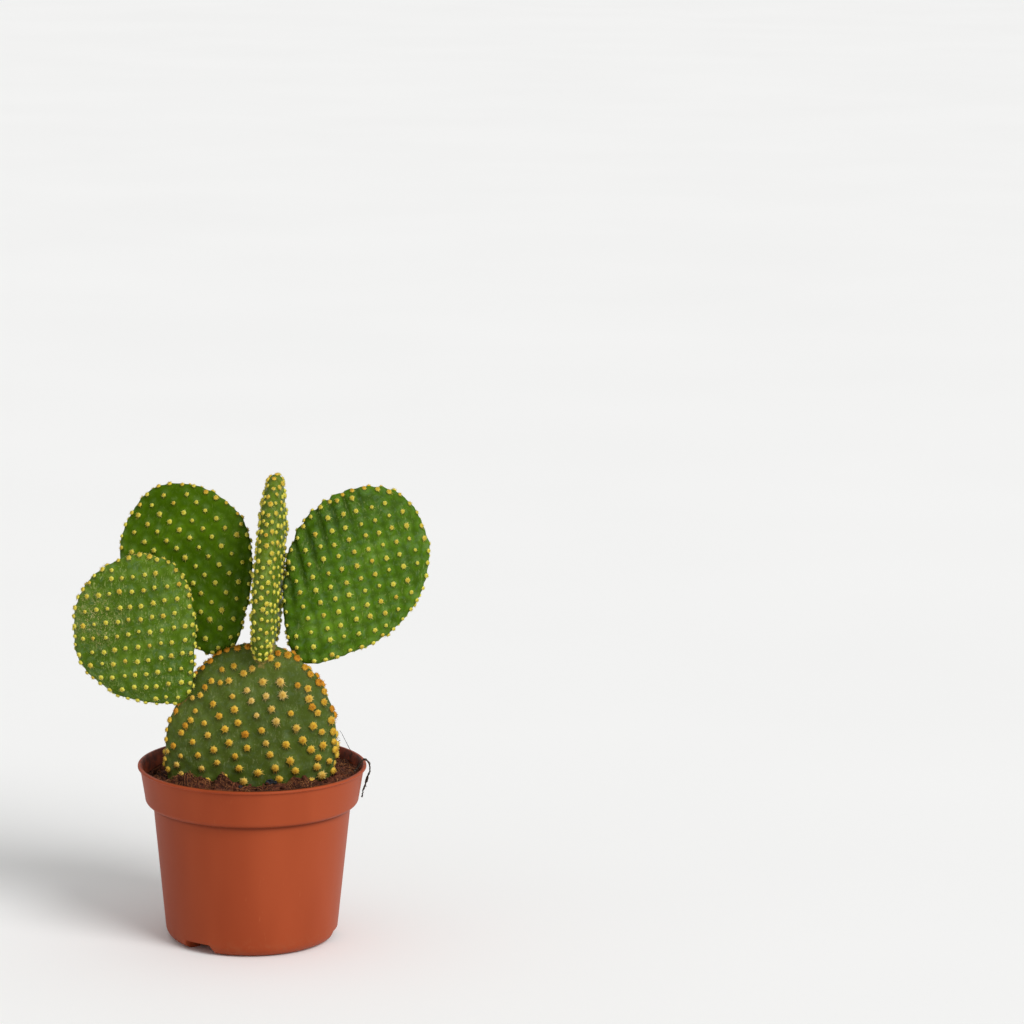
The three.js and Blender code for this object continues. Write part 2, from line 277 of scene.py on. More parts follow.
@dataclass(frozen=True)
class Finish:
    """A finish that its material is built from."""

    name: str

    def build(self) -> bpy.types.Material:
        """Returns the finish's material."""
        material = bpy.data.materials.new(self.name)
        material.use_nodes = True
        tree = material.node_tree
        tree.nodes.clear()
        place = add_node(tree, "TexCoord").outputs["Object"]
        shader = add_node(tree, "BsdfPrincipled", self.surface(tree, place))
        output = add_node(tree, "OutputMaterial")
        tree.links.new(shader.outputs["BSDF"], output.inputs["Surface"])
        return material

    def surface(self, tree: Tree, place: Socket) -> dict[str, object]:
        """Mixes the finish's colour, roughness and bumps.

        Args:
            tree: The material's node tree.
            place: Object coordinates.

        Returns:
            A value or a socket for each input of the shader that isn't left as it is.
        """
        raise NotImplementedError


@dataclass(frozen=True)
class MouldedPolypropylene(Finish):
    """Injection-moulded polypropylene, coloured through, with a satin surface.

    It has a soft broad highlight, faint flow marks, pale scuffs, a little dust near the foot, a
    painted shadow line in the crease under the collar, and a peat stain on the inside, where the
    mesh's "inner" is 1, which is also painted shade inside the pot.
    """

    name: str = "terracotta_polypropylene_moulded"
    body: str = "#a14725"
    shade: str = "#943e1e"
    scuff: str = "#b8663f"
    dust: str = "#985636"
    peat: str = "#2e160c"
    crease_shadow: str = "#5a210e"
    dust_heights: tuple[float, float] = (14.0, 1.0)
    crease_shadow_foot: tuple[float, float] = (69.6, 71.8)
    crease_shadow_top: tuple[float, float] = (73.6, 72.2)
    least_rough: float = 0.41
    most_rough: float = 0.52

    def surface(self, tree: Tree, place: Socket) -> dict[str, object]:
        """Mixes the plastic's colour, roughness and bumps.

        Args:
            tree: The material's node tree.
            place: Object coordinates.

        Returns:
            The shader's inputs.
        """
        broad = Mottle(34, 2).add(tree, drawn_out(tree, place, 0.22))
        colour = ramp(tree, broad, ((0.36, self.shade), (0.64, self.body)))
        scratches = drawn_out(tree, place, 0.12, (0.5, 0.3, 0.2))
        fine = Mottle(0.9, 2, 0.6).mask(tree, scratches, 0.64, 0.76, 0.3)
        scuffs = times(tree, fine, Mottle(14, 2).mask(tree, place, 0.52, 0.66))
        colour = laid_over(tree, colour, self.scuff, scuffs)
        height = add_node(tree, "SeparateXYZ", {"Vector": place}).outputs["Z"]
        low = masked(tree, height, *(z * MM for z in self.dust_heights), 0.35)
        dust = times(tree, low, Mottle(3.5, 5, 0.65).mask(tree, place, 0.42, 0.7))
        colour = laid_over(tree, colour, self.dust, dust)
        # Painted shadow: a dark band in the crease under the collar, between these heights.
        foot = masked(tree, height, *(z * MM for z in self.crease_shadow_foot))
        top = masked(tree, height, *(z * MM for z in self.crease_shadow_top), 0.55)
        colour = laid_over(tree, colour, self.crease_shadow, times(tree, foot, top))
        # The dark peat colour on the inner wall is partly a stain and partly painted shade inside
        # the pot.
        stain_and_shade_share = Mottle(5, 4, 0.6).mask(tree, place, 0.2, 0.7, 0.85)
        colour = laid_over(tree, colour, self.peat, times(tree, stored(tree, "inner"), stain_and_shade_share))
        grain = Mottle(0.55, 2).add(tree, place)
        return {
            "Base Color": colour,
            "Roughness": ranged(tree, grain, self.least_rough, self.most_rough),
            "Normal": bumped(tree, broad, 0.5, 0.35, bumped(tree, grain, 0.12, 0.05)),
            "IOR": 1.49,
            "Specular IOR Level": 0.14,
        }


@dataclass(frozen=True)
class WaxySkin(Finish):
    """A cactus pad's skin: a waxy cuticle with a velvety bloom over green tissue.

    The skin is lighter on the bumps and darker in the valleys, where the darker colour is painted
    shade. It has a red-brown mark at the lower side of each areole, partly its stain and partly a
    painted shadow of its tuft, and a blue-grey bloom above it, and is corky where a pad joins
    another. Patches of haze, light flecks that are drawn out along the pad and light pores lie all
    over it.
    """

    deep: str
    body: str
    light: str
    valley_shade: str
    stain_and_shadow: str = "#3a2413"
    bloom: str = "#93a583"
    cork: str = "#8f7a42"
    scar: str = "#b9ad72"
    fleck: str = "#a3ad66"
    haze: str = "#5f7a5c"
    roughness: float = 0.5
    mottle_strength: float = 0.3
    valley_shade_strength: float = 0.75
    bloom_strength: float = 0.12
    fleck_strength: float = 0.75
    haze_strength: float = 0.42
    specular: float = 0.11

    def colour(self, tree: Tree, place: Socket) -> Socket:
        """Mixes the skin's colours.

        Args:
            tree: The material's node tree.
            place: Object coordinates.

        Returns:
            The base colour.
        """
        broad = Mottle(30, 3, 0.55, 0.4).add(tree, place)
        colour = ramp(tree, broad, ((0.33, self.deep), (0.5, self.body), (0.68, self.light)))
        cloud = Mottle(4.5, 4, 0.6).add(tree, place)
        lighter = masked(tree, cloud, 0.5, 0.75, self.mottle_strength)
        colour = laid_over(tree, colour, self.light, lighter)
        # Painted shade: darkens the valleys between the bumps and the furrows.
        valley_shade = times(tree, stored(tree, "valley_shade"), self.valley_shade_strength)
        colour = laid_over(tree, colour, self.valley_shade, valley_shade)
        powder = times(tree, stored(tree, "bloom"), masked(tree, cloud, 0.35, 0.65))
        colour = laid_over(tree, colour, self.bloom, times(tree, powder, self.bloom_strength))
        haze = Mottle(3.4, 4, 0.65, 0.8).mask(tree, place, 0.5, 0.66, self.haze_strength)
        colour = laid_over(tree, colour, self.haze, haze)
        drawn = drawn_out(tree, place, 0.35)
        streak = Mottle(0.9, 4, 0.7, 0.6).mask(tree, drawn, 0.55, 0.66, self.fleck_strength)
        worn = Mottle(9, 3, 0.6).mask(tree, place, 0.38, 0.6)
        colour = laid_over(tree, colour, self.fleck, times(tree, streak, worn))
        pores = Mottle(0.7, 2, 0.6).mask(tree, place, 0.6, 0.72, 0.5 * self.fleck_strength)
        colour = laid_over(tree, colour, self.fleck, pores)
        corky = Mottle(1.6, 4, 0.7).mask(tree, place, 0.36, 0.6)
        colour = laid_over(tree, colour, self.cork, times(tree, stored(tree, "joint"), corky))
        scratched = Mottle(1.1, 5, 0.75, 1.2).mask(tree, place, 0.54, 0.62)
        scar = times(tree, stored(tree, "scar"), scratched)
        colour = laid_over(tree, colour, self.scar, scar)
        # A red-brown mark below each areole: partly its stain, partly a painted shadow of its tuft.
        return laid_over(tree, colour, self.stain_and_shadow, stored(tree, "stain_and_shadow"))

    def surface(self, tree: Tree, place: Socket) -> dict[str, object]:
        """Mixes the skin's colour, roughness and bumps.

        Args:
            tree: The material's node tree.
            place: Object coordinates.

        Returns:
            The shader's inputs.
        """
        colour = self.colour(tree, place)
        wrinkle = Mottle(1.3, 5, 0.62).add(tree, place)
        fine = bumped(tree, wrinkle, 0.55, 0.22)
        return {
            "Base Color": colour,
            "Roughness": ranged(tree, wrinkle, self.roughness - 0.12, self.roughness + 0.16),
            "Normal": bumped(tree, Mottle(6, 2).add(tree, place), 0.6, 0.8, fine),
            "IOR": 1.42,
            "Specular IOR Level": self.specular,
        }


@dataclass(frozen=True)
class BarbedHair(Finish):
    """Glochids, the cactus's fine barbed hairs: matte straw packed in dense tufts.

    The mesh's "reach" runs from 0 at a tuft's foot to 1 at its tips, and "pale" from 0 on rusty
    tufts by GOLDEN_PALE on golden ones to 1 on faded ones. Each tint is a ramp from foot to tip,
    whose dark foot is partly the hairs' own redder base and partly painted shade deep in the tuft.
    """

    name: str = "glochid_hair_golden"
    golden: tuple[str, str, str] = ("#b47a1e", "#e8be3c", "#f9e088")
    faded: tuple[str, str, str] = ("#b4a02c", "#e8e056", "#f8f4b4")
    rusty: tuple[str, str, str] = ("#94560f", "#d89222", "#eeba54")
    between: str = "#a87c18"
    places: tuple[float, float, float] = (0.05, 0.5, 1.0)

    def surface(self, tree: Tree, place: Socket) -> dict[str, object]:
        """Mixes the tufts' colour and bumps.

        Args:
            tree: The material's node tree.
            place: Object coordinates.

        Returns:
            The shader's inputs.
        """
        reach = stored(tree, "reach")
        pale = stored(tree, "pale")
        # The ramps darken each tuft's foot: partly the hairs' redder base, partly painted shade in
        # the tuft.
        rusty, golden, faded = (
            ramp(tree, reach, tuple(zip(self.places, tints)))
            for tints in (self.rusty, self.golden, self.faded)
        )
        colour = laid_over(tree, rusty, golden, masked(tree, pale, 0.0, GOLDEN_PALE))
        colour = laid_over(tree, colour, faded, masked(tree, pale, GOLDEN_PALE, 1.0))
        hairs = Mottle(0.35, 2, 0.7).add(tree, place)
        gaps = masked(tree, hairs, 0.5, 0.7, 0.25)
        return {
            "Base Color": laid_over(tree, colour, self.between, gaps),
            "Roughness": 0.75,
            "Normal": bumped(tree, hairs, 0.9, 0.3),
            "IOR": 1.45,
            "Specular IOR Level": 0.2,
        }


@dataclass(frozen=True)
class DryFibre(Finish):
    """Peat, dead roots and bark: rough, matte plant matter with streaks of its own grain."""

    dark: str
    body: str
    light: str
    grain: float = 1.6
    roughness: float = 0.95

    def surface(self, tree: Tree, place: Socket) -> dict[str, object]:
        """Mixes the matter's colour and bumps.

        Args:
            tree: The material's node tree.
            place: Object coordinates.

        Returns:
            The shader's inputs.
        """
        crumbs = Mottle(self.grain, 5, 0.68).add(tree, place)
        colour = ramp(tree, crumbs, ((0.34, self.dark), (0.52, self.body), (0.7, self.light)))
        patches = Mottle(8 * self.grain, 3, 0.6).mask(tree, place, 0.45, 0.62, 0.6)
        return {
            "Base Color": laid_over(tree, colour, self.dark, patches),
            "Roughness": self.roughness,
            "Normal": bumped(tree, crumbs, 0.9, 0.25 * self.grain),
            "Specular IOR Level": 0.2,
        }


@dataclass(frozen=True)
class PaleCard(Finish):
    """The studio floor: matte white card with a very faint tone."""

    name: str = "studio_card_white"
    body: str = "#f8f8f7"
    shade: str = "#f6f6f5"

    def surface(self, tree: Tree, place: Socket) -> dict[str, object]:
        """Mixes the card's colour.

        Args:
            tree: The material's node tree.
            place: Object coordinates.

        Returns:
            The shader's inputs.
        """
        tone = Mottle(400, 2).add(tree, place)
        colour = ramp(tree, tone, ((0.3, self.shade), (0.7, self.body)))
        return {"Base Color": colour, "Roughness": 0.9}


def placed_object(
    name: str, mesh: bpy.types.Mesh, material: bpy.types.Material
) -> bpy.types.Object:
    """Makes a scene object from a mesh that already has its place.

    Args:
        name: The object's and the mesh's name.
        mesh: The mesh, in metres.
        material: Its material.

    Returns:
        The object, at the origin.
    """
    mesh.name = name
    mesh.materials.clear()
    mesh.materials.append(material)
    piece = bpy.data.objects.new(name, mesh)
    bpy.context.scene.collection.objects.link(piece)
    return piece


def mesh_from(bm: bmesh.types.BMesh, name: str, sharp: float = 180.0) -> bpy.types.Mesh:
    """Turns a bmesh into a smooth-shaded mesh and frees it.

    Args:
        bm: The bmesh.
        name: The mesh's name.
        sharp: Edges that turn more than this many degrees stay sharp.

    Returns:
        The mesh.
    """
    limit = math.radians(sharp)
    for edge in bm.edges:
        edge.smooth = edge.calc_face_angle(0.0) < limit
    for face in bm.faces:
        face.smooth = True
    mesh = bpy.data.meshes.new(name)
    bm.to_mesh(mesh)
    bm.free()
    return mesh


def enlist(piece: bpy.types.Object, slot: Slot, *nodes: str) -> bpy.types.Object:
    """Parents a piece to the body's empty and hides the solids that it stands for.

    Args:
        piece: The finished piece.
        slot: Its material slot. Not used.
        *nodes: The solids it stands for.

    Returns:
        The same piece.
    """
    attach(piece, BODY)
    if nodes:
        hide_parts(*nodes)
    return piece


def vertices_of(mesh: bpy.types.Mesh) -> np.ndarray:
    """Returns a mesh's vertices as rows of three numbers."""
    flat = np.empty(len(mesh.vertices) * 3)
    mesh.vertices.foreach_get("co", flat)
    return flat.reshape(-1, 3)


def move_vertices(mesh: bpy.types.Mesh, places: np.ndarray) -> None:
    """Gives a mesh's vertices new places.

    Args:
        mesh: The mesh.
        places: A row of three numbers for each vertex.
    """
    mesh.vertices.foreach_set("co", places.astype(np.float32).ravel())
    mesh.update()


def paint(mesh: bpy.types.Mesh, name: str, values: np.ndarray) -> None:
    """Stores a value for each vertex, which a material reads by name.

    Args:
        mesh: The mesh.
        name: The attribute's name.
        values: A number for each vertex.
    """
    layer = mesh.attributes.new(name, "FLOAT", "POINT")
    layer.data.foreach_set("value", np.clip(values, 0, 1).astype(np.float32))


def eased(value: np.ndarray, low: float, high: float) -> np.ndarray:
    """Returns a smooth step from 0 at low to 1 at high."""
    share = np.clip((value - low) / (high - low), 0, 1)
    return share * share * (3 - 2 * share)


def swell(places: np.ndarray, size: float, seed: int, waves: int = 9) -> np.ndarray:
    """Makes a smooth random relief from plane waves.

    Args:
        places: Rows of three numbers.
        size: The width of its bumps, in the same unit.
        seed: Picks the relief.
        waves: How many waves are added up.

    Returns:
        A number for each row, mostly between -1 and 1.
    """
    draw = np.random.default_rng(seed)
    total = np.zeros(len(places))
    for _ in range(waves):
        direction = draw.normal(size=3)
        direction *= TAU / (2 * size * np.linalg.norm(direction)) * draw.uniform(0.7, 1.4)
        total += np.sin(places @ direction + draw.uniform(0, TAU))
    return total / math.sqrt(waves / 2)


def nearest(places: np.ndarray, targets: np.ndarray) -> np.ndarray:
    """Measures how far the nearest target of each place is.

    Args:
        places: Rows of three numbers.
        targets: Rows of three numbers.

    Returns:
        The distances.
    """
    step = 4096
    gaps = []
    lengths = (targets**2).sum(axis=1)
    for start in range(0, len(places), step):
        part = places[start : start + step]
        squares = (part**2).sum(axis=1)[:, None] + lengths - 2 * part @ targets.T
        best = squares.argmin(axis=1)
        gaps.append(np.sqrt(np.maximum(squares[np.arange(len(part)), best], 0)))
    return np.concatenate(gaps)


def facing(direction: Vector, spin: float = 0.0) -> Matrix:
    """Returns a rotation that turns +Z to a direction, after a spin about it, in radians."""
    turn = UP.rotation_difference(direction).to_matrix().to_4x4()
    return turn @ Matrix.Rotation(spin, 4, "Z")


def gauss_vector(pick: random.Random) -> Vector:
    """Draws a vector of three normal numbers."""
    return Vector((pick.gauss(0, 1), pick.gauss(0, 1), pick.gauss(0, 1)))


def add_lump(
    bm: bmesh.types.BMesh,
    pick: random.Random,
    matrix: Matrix,
    subdivisions: int,
    roughness: float,
    size: float,
) -> None:
    """Adds a ball with uneven vertices.

    Args:
        bm: The bmesh that it goes into.
        pick: The random source.
        matrix: Its place, turn and scale.
        subdivisions: How fine the ball is.
        roughness: How uneven it is, as a share of its size.
        size: Its size in millimetres.
    """
    lump = bmesh.ops.create_icosphere(bm, subdivisions=subdivisions, radius=1, matrix=matrix)
    for vert in lump["verts"]:
        vert.co += gauss_vector(pick) * roughness * size * MM


def spin_section(bm: bmesh.types.BMesh, verts: list[bmesh.types.BMVert], steps: int) -> None:
    """Spins a section that runs from axis to axis into a closed, merged body of revolution.

    Args:
        bm: The section's bmesh.
        verts: Its points in order.
        steps: How many faces go round.
    """
    edges = [bm.edges.new(pair) for pair in zip(verts, verts[1:])]
    bmesh.ops.spin(
        bm,
        geom=[*verts, *edges],
        cent=(0, 0, 0),
        axis=(0, 0, 1),
        angle=TAU,
        steps=steps,
        use_merge=True,
    )
    bmesh.ops.remove_doubles(bm, verts=bm.verts, dist=MERGE_DISTANCE)


@dataclass(frozen=True)
class Strand:
    """One thin strand: its route and its radius at each point, in millimetres."""

    route: tuple[Vector, ...]
    radii: tuple[float, ...]


def strands_mesh(name: str, strands: Iterable[Strand], roundness: int = 0) -> bpy.types.Mesh:
    """Makes closed tubes along strands.

    Args:
        name: The mesh's name.
        strands: The strands.
        roundness: 0 for four sides, and two more for each step.

    Returns:
        One mesh with all tubes, in metres.
    """
    curve = bpy.data.curves.new(name, "CURVE")
    curve.dimensions = "3D"
    curve.bevel_depth = MM
    curve.bevel_resolution = roundness
    curve.use_fill_caps = True
    for strand in strands:
        spline = curve.splines.new("POLY")
        spline.points.add(len(strand.route) - 1)
        for point, place, radius in zip(spline.points, strand.route, strand.radii):
            point.co = (*(place * MM), 1)
            point.radius = radius
    holder = bpy.data.objects.new(name, curve)
    bpy.context.scene.collection.objects.link(holder)
    depsgraph = bpy.context.evaluated_depsgraph_get()
    mesh = bpy.data.meshes.new_from_object(holder.evaluated_get(depsgraph))
    bpy.data.objects.remove(holder)
    bpy.data.curves.remove(curve)
    for polygon in mesh.polygons:
        polygon.use_smooth = True
    return mesh


def smooth_route(points: Sequence[Vector], steps: int) -> list[Vector]:
    """Returns a Catmull-Rom curve through points, with so many steps between two of them."""
    padded = [2 * points[0] - points[1], *points, 2 * points[-1] - points[-2]]
    route = []
    for a, b, c, d in zip(padded, padded[1:], padded[2:], padded[3:]):
        for i in range(steps):
            s = i / steps
            bend = (2 * a - 5 * b + 4 * c - d) * s**2 + (3 * b - a - 3 * c + d) * s**3
            route.append((2 * b + (c - a) * s + bend) / 2)
    return [*route, points[-1]]


@dataclass(frozen=True)
class PadForm:
    """The form of one pad, in millimetres and degrees.

    Its own frame has X across the face, -Y out of the front face and Z from the foot to the tip.
    t runs round the outline from the foot (0) by the tip (pi), and psi over the skin from the
    middle of the front face (0) by the rim (pi / 2) to the middle of the back face (pi).
    """

    node: str
    root: tuple[float, float, float]
    length: float
    width: float
    thickness: float
    egg: float = 0.0
    blunt: float = 0.0
    sweep: float = 0.0
    lean: float = 0.0
    lean_back: float = 0.0
    turn: float = 0.0
    bow: float = 0.0
    fullness: float = 0.8

    def placement(self) -> Matrix:
        """Returns the matrix from the pad's own frame to the part's, in millimetres."""
        turns = (
            Matrix.Rotation(math.radians(self.lean), 4, "Y")
            @ Matrix.Rotation(math.radians(-self.lean_back), 4, "X")
            @ Matrix.Rotation(math.radians(self.turn), 4, "Z")
        )
        return Matrix.Translation(self.root) @ turns

    def in_part(self, places: np.ndarray) -> np.ndarray:
        """Turns rows of places in the pad's frame into the part's frame."""
        matrix = np.array(self.placement())
        return places @ matrix[:3, :3].T + matrix[:3, 3]

    def in_pad(self, places: np.ndarray) -> np.ndarray:
        """Turns rows of places in the part's frame into the pad's frame."""
        matrix = np.array(self.placement())
        return (places - matrix[:3, 3]) @ matrix[:3, :3]

    def egg_width(self, t: np.ndarray) -> np.ndarray:
        """Returns the outline's half width at t, before it is scaled to the pad's width."""
        c = np.cos(t)
        return np.sin(t) * (1 - self.egg * c + self.blunt * c * c)

    def outline(self, t: np.ndarray) -> tuple[np.ndarray, np.ndarray]:
        """Returns the outline across and along the pad at t."""
        up = (1 - np.cos(t)) / 2
        widest = self.egg_width(np.linspace(0, math.pi, 181)).max()
        across = self.width / 2 * self.egg_width(t) / widest + self.sweep * (1 - up) ** 2
        return across, self.length * up

    @property
    def centre(self) -> tuple[float, float]:
        """The middle of the face, across and along the pad."""
        return self.sweep / 4, self.length / 2

    def bow_at(self, along: np.ndarray) -> np.ndarray:
        """Returns how far the pad's middle sheet bends back at a place along it."""
        return self.bow * (1 - (2 * along / self.length - 1) ** 2)

    def skin(self, t: np.ndarray, psi: np.ndarray) -> np.ndarray:
        """Returns points of the skin in the pad's own frame, as rows."""
        across, along = self.outline(t)
        middle_across, middle_along = self.centre
        share = np.sin(psi) ** self.fullness
        x = middle_across + share * (across - middle_across)
        z = middle_along + share * (along - middle_along)
        return np.stack([x, self.bow_at(z) - np.cos(psi) * self.thickness / 2, z], axis=1)

    def outward(self, t: np.ndarray, psi: np.ndarray) -> np.ndarray:
        """Returns the skin's outward normals in the pad's own frame, as rows."""
        step = 0.02
        inside = np.clip(psi, 2 * step, math.pi - 2 * step)
        along_t = self.skin(t + step, inside) - self.skin(t - step, inside)
        along_psi = self.skin(t, inside + step) - self.skin(t, inside - step)
        normal = np.cross(along_psi, along_t)
        return normal / np.linalg.norm(normal, axis=1)[:, None]

    def on_face(self, across: np.ndarray, along: np.ndarray) -> tuple[np.ndarray, np.ndarray]:
        """Finds where places of the flat face are.

        Args:
            across: Places across the pad.
            along: Places along the pad.

        Returns:
            The angle t and the share of the way from the face's middle to the rim.
        """
        table = np.linspace(0, TAU, 1441)
        rim_across, rim_along = self.outline(table)
        middle_across, middle_along = self.centre
        x, z = rim_across - middle_across, middle_along - rim_along
        angles = np.unwrap(np.arctan2(x, z))
        wanted = np.arctan2(across - middle_across, middle_along - along)
        wanted = (wanted - angles[0]) % TAU + angles[0]
        t = np.interp(wanted, angles, table)
        reach = np.interp(wanted, angles, np.hypot(x, z))
        return t, np.hypot(across - middle_across, along - middle_along) / reach

    def even_psi(self, share: np.ndarray) -> np.ndarray:
        """Returns psi for shares of the skin's area from the front middle, for even points."""
        psi = np.linspace(0, math.pi, 1801)
        reach = (self.width + self.length) / 4
        out = reach * np.sin(psi) ** self.fullness
        depth = -np.cos(psi) * self.thickness / 2
        rings = np.hypot(np.diff(out), np.diff(depth)) * (out[1:] + out[:-1])
        area = np.concatenate([[0], np.cumsum(rings)])
        return np.interp(share, area / area[-1], psi)

    def holds(self, places: np.ndarray, margin: float) -> np.ndarray:
        """Tells which places lie in the pad or nearer than a margin to its skin.

        Args:
            places: Rows of places in the part's frame.
            margin: The margin in millimetres.

        Returns:
            True or False for each row.
        """
        local = self.in_pad(places)
        _, share = self.on_face(local[:, 0], local[:, 2])
        inside = np.minimum(share, 1) ** (1 / self.fullness)
        half = self.thickness / 2 * np.sqrt(1 - inside**2)
        outside = np.maximum(share - 1, 0) * self.width / 2
        depth = np.abs(local[:, 1] - self.bow_at(local[:, 2]))
        return (outside < margin) & (depth < half + margin)


@dataclass(frozen=True)
class TuftRows:
    """How the tufts stand on a pad: a slanting lattice on both faces and rows round the rim.

    The lattice repeats by one step and one row, each with its own slant in degrees, and starts at
    an offset from the face's middle. A tuft of the rim keeps at least the closest distance to the
    tufts before it, and one of the faces the distance apart. A tuft's radius is right for the
    middle and grows by a share towards the right side. The defaults are a young pad's.
    """

    step: float
    step_angle: float
    row: float
    row_angle: float
    offset: tuple[float, float]
    rim_step: float = 6.6
    rim_rows: tuple[float, ...] = (-13, 13)
    face_share: float = 0.955
    jitter: float = 0.35
    rim_wobble: float = 0.08
    closest: float = 2.7
    apart: float = 3.5
    radius: float = 1.46
    spread: float = 0.2
    hairs: int = 18
    growth: float = 0.0


@dataclass
class CactusPad:
    """One pad: its skin with a bump under each areole, and its tufts of glochids.

    Tufts grow above the lowest height and no nearer to a neighbour than the clearance. A spot is
    its place across and along the front face and its reach. The defaults are a young pad's.
    """

    form: PadForm
    rows: TuftRows
    skin_finish: WaxySkin
    seed: int
    neighbours: tuple[PadForm, ...]
    skin_slot: Slot = Slot.YOUNG_SKIN
    bump: float = 0.7
    bump_width: float = 2.2
    joint_reach: float = 1.6
    clearance: float = 2.0
    lowest: float = 88.0
    pale_low: float = 0.97
    pale_high: float = 0.86
    pale_spread: float = 0.12
    rim_gold: float = 0.2
    spot_pale: float = 0.85
    stain_and_shade_share: float = 0.3
    pale_spot: tuple[float, float, float] | None = None
    scar_spot: tuple[float, float, float] | None = None
    groove_depth: float = 0.0

    def lattice(self) -> tuple[np.ndarray, np.ndarray]:
        """Returns t and psi of the tufts on both faces."""
        draw = np.random.default_rng(self.seed)
        count = int(self.form.length / self.rows.row) + 2
        steps = np.arange(-count, count + 1)
        i, j = (grid.ravel() for grid in np.meshgrid(steps, steps))
        first = math.radians(self.rows.step_angle)
        second = math.radians(self.rows.row_angle)
        all_t, all_psi = [], []
        for side in (1, -1):
            shift = draw.normal(scale=self.rows.jitter, size=(2, len(i)))
            x = i * self.rows.step * math.cos(first) + j * self.rows.row * math.cos(second)
            z = i * self.rows.step * math.sin(first) + j * self.rows.row * math.sin(second)
            across = self.form.centre[0] + side * (x + self.rows.offset[0]) + shift[0]
            along = self.form.centre[1] + z + self.rows.offset[1] + shift[1]
            t, share = self.form.on_face(across, along)
            keep = share < self.rows.face_share
            psi = np.arcsin(share[keep] ** (1 / self.form.fullness))
            all_t.append(t[keep])
            all_psi.append(psi if side > 0 else math.pi - psi)
        return np.concatenate(all_t), np.concatenate(all_psi)

    def rim(self) -> tuple[np.ndarray, np.ndarray]:
        """Returns t and psi of the tufts in staggered rows round the rim."""
        draw = np.random.default_rng(self.seed + 1)
        table = np.linspace(0, TAU, 2881)
        across, along = self.form.outline(table)
        walked = np.concatenate([[0], np.cumsum(np.hypot(np.diff(across), np.diff(along)))])
        count = int(walked[-1] / self.rows.rim_step)
        all_t, all_psi = [], []
        for number, angle in enumerate(self.rows.rim_rows):
            spots = (np.arange(count) + number % 2 / 2) / count * walked[-1]
            spots = spots + draw.normal(scale=self.rows.jitter, size=count)
            all_t.append(np.interp(spots, walked, table))
            wobble = draw.normal(scale=self.rows.rim_wobble, size=count)
            all_psi.append(RIGHT_ANGLE + math.radians(angle) + wobble)
        return np.concatenate(all_t), np.concatenate(all_psi)

    def tuft_places(self) -> tuple[np.ndarray, np.ndarray, np.ndarray]:
        """Returns the tufts' places and normals in the pad's frame, and their psi."""
        rim_t, rim_psi = self.rim()
        face_t, face_psi = self.lattice()
        t = np.concatenate([rim_t, face_t])
        psi = np.concatenate([rim_psi, face_psi])
        places = self.form.skin(t, psi)
        in_part = self.form.in_part(places)
        free = in_part[:, 2] > self.lowest
        for other in self.neighbours:
            free &= ~other.holds(in_part, self.clearance)
        kept: list[int] = []
        for index in np.flatnonzero(free):
            gaps = np.linalg.norm(places[kept] - places[index], axis=1)
            limit = self.rows.closest if index < len(rim_t) else self.rows.apart
            if gaps.min(initial=math.inf) > limit:
                kept.append(int(index))
        chosen = np.array(kept)
        return places[chosen], self.form.outward(t, psi)[chosen], psi[chosen]

    def paleness(
        self, places: np.ndarray, normals: np.ndarray, psi: np.ndarray, draw: np.random.Generator
    ) -> np.ndarray:
        """Returns how faded each tuft is. The ones on the rim that face the sky are less faded.

        Args:
            places: The tufts' places in the pad's frame.
            normals: The skin's normals there.
            psi: Their places between the front and the back.
            draw: The pad's random source.

        Returns:
            0 for rusty by GOLDEN_PALE for golden to 1 for faded, for each tuft.
        """
        height = np.clip(places[:, 2] / self.form.length, 0, 1)
        pale = self.pale_low + (self.pale_high - self.pale_low) * eased(height, 0.1, 0.85)
        rise = normals @ np.array(self.form.placement())[2, :3]
        pale -= self.rim_gold * eased(rise, -0.1, 0.7) * eased(np.sin(psi), 0.7, 0.95)
        if self.pale_spot:
            across, along, reach = self.pale_spot
            away = np.hypot(places[:, 0] - across, places[:, 2] - along)
            front = places[:, 1] < 0
            spot = self.spot_pale * (1 - eased(away, reach * 0.5, reach * 1.2))
            pale = np.maximum(pale, spot * front)
        return np.clip(pale + draw.normal(scale=self.pale_spread, size=len(places)), 0, 1)

    def build(self, hair: bpy.types.Material, templates: "TuftTemplates") -> list[bpy.types.Object]:
        """Builds the skin and the tufts.

        Args:
            hair: The tufts' material.
            templates: The tufts' shapes.

        Returns:
            The two pieces.
        """
        places, normals, psi = self.tuft_places()
        skin = self.build_skin(places)
        tufts = self.build_tufts(places, normals, psi, hair, templates)
        return [skin, tufts]

    def build_skin(self, tufts: np.ndarray) -> bpy.types.Object:
        """Builds the skin from a fine ball that is drawn into the pad's form.

        Args:
            tufts: The tufts' places in the pad's frame.

        Returns:
            The skin.
        """
        name = f"{self.form.node}_skin"
        bm = bmesh.new()
        bmesh.ops.create_icosphere(bm, subdivisions=7, radius=1)
        mesh = mesh_from(bm, name)
        ball = vertices_of(mesh)
        share = (1 + ball[:, 1] / np.linalg.norm(ball, axis=1)) / 2
        psi = self.form.even_psi(share)
        t = np.arctan2(ball[:, 0], -ball[:, 2]) % TAU
        local = self.form.skin(t, psi)
        outward = self.form.outward(t, psi)
        gap = nearest(local, tufts)
        groove = self.grooves(local)
        rise = self.relief(local, gap, groove)
        move_vertices(mesh, self.form.in_part(local + outward * rise[:, None]) * MM)
        down = self.form.in_pad(self.form.in_part(np.zeros((1, 3))) + [[0, 0, -1.0]])[0]
        self.paint_marks(mesh, local, tufts, gap, groove, down)
        piece = placed_object(name, mesh, self.skin_finish.build())
        return enlist(piece, self.skin_slot, self.form.node)

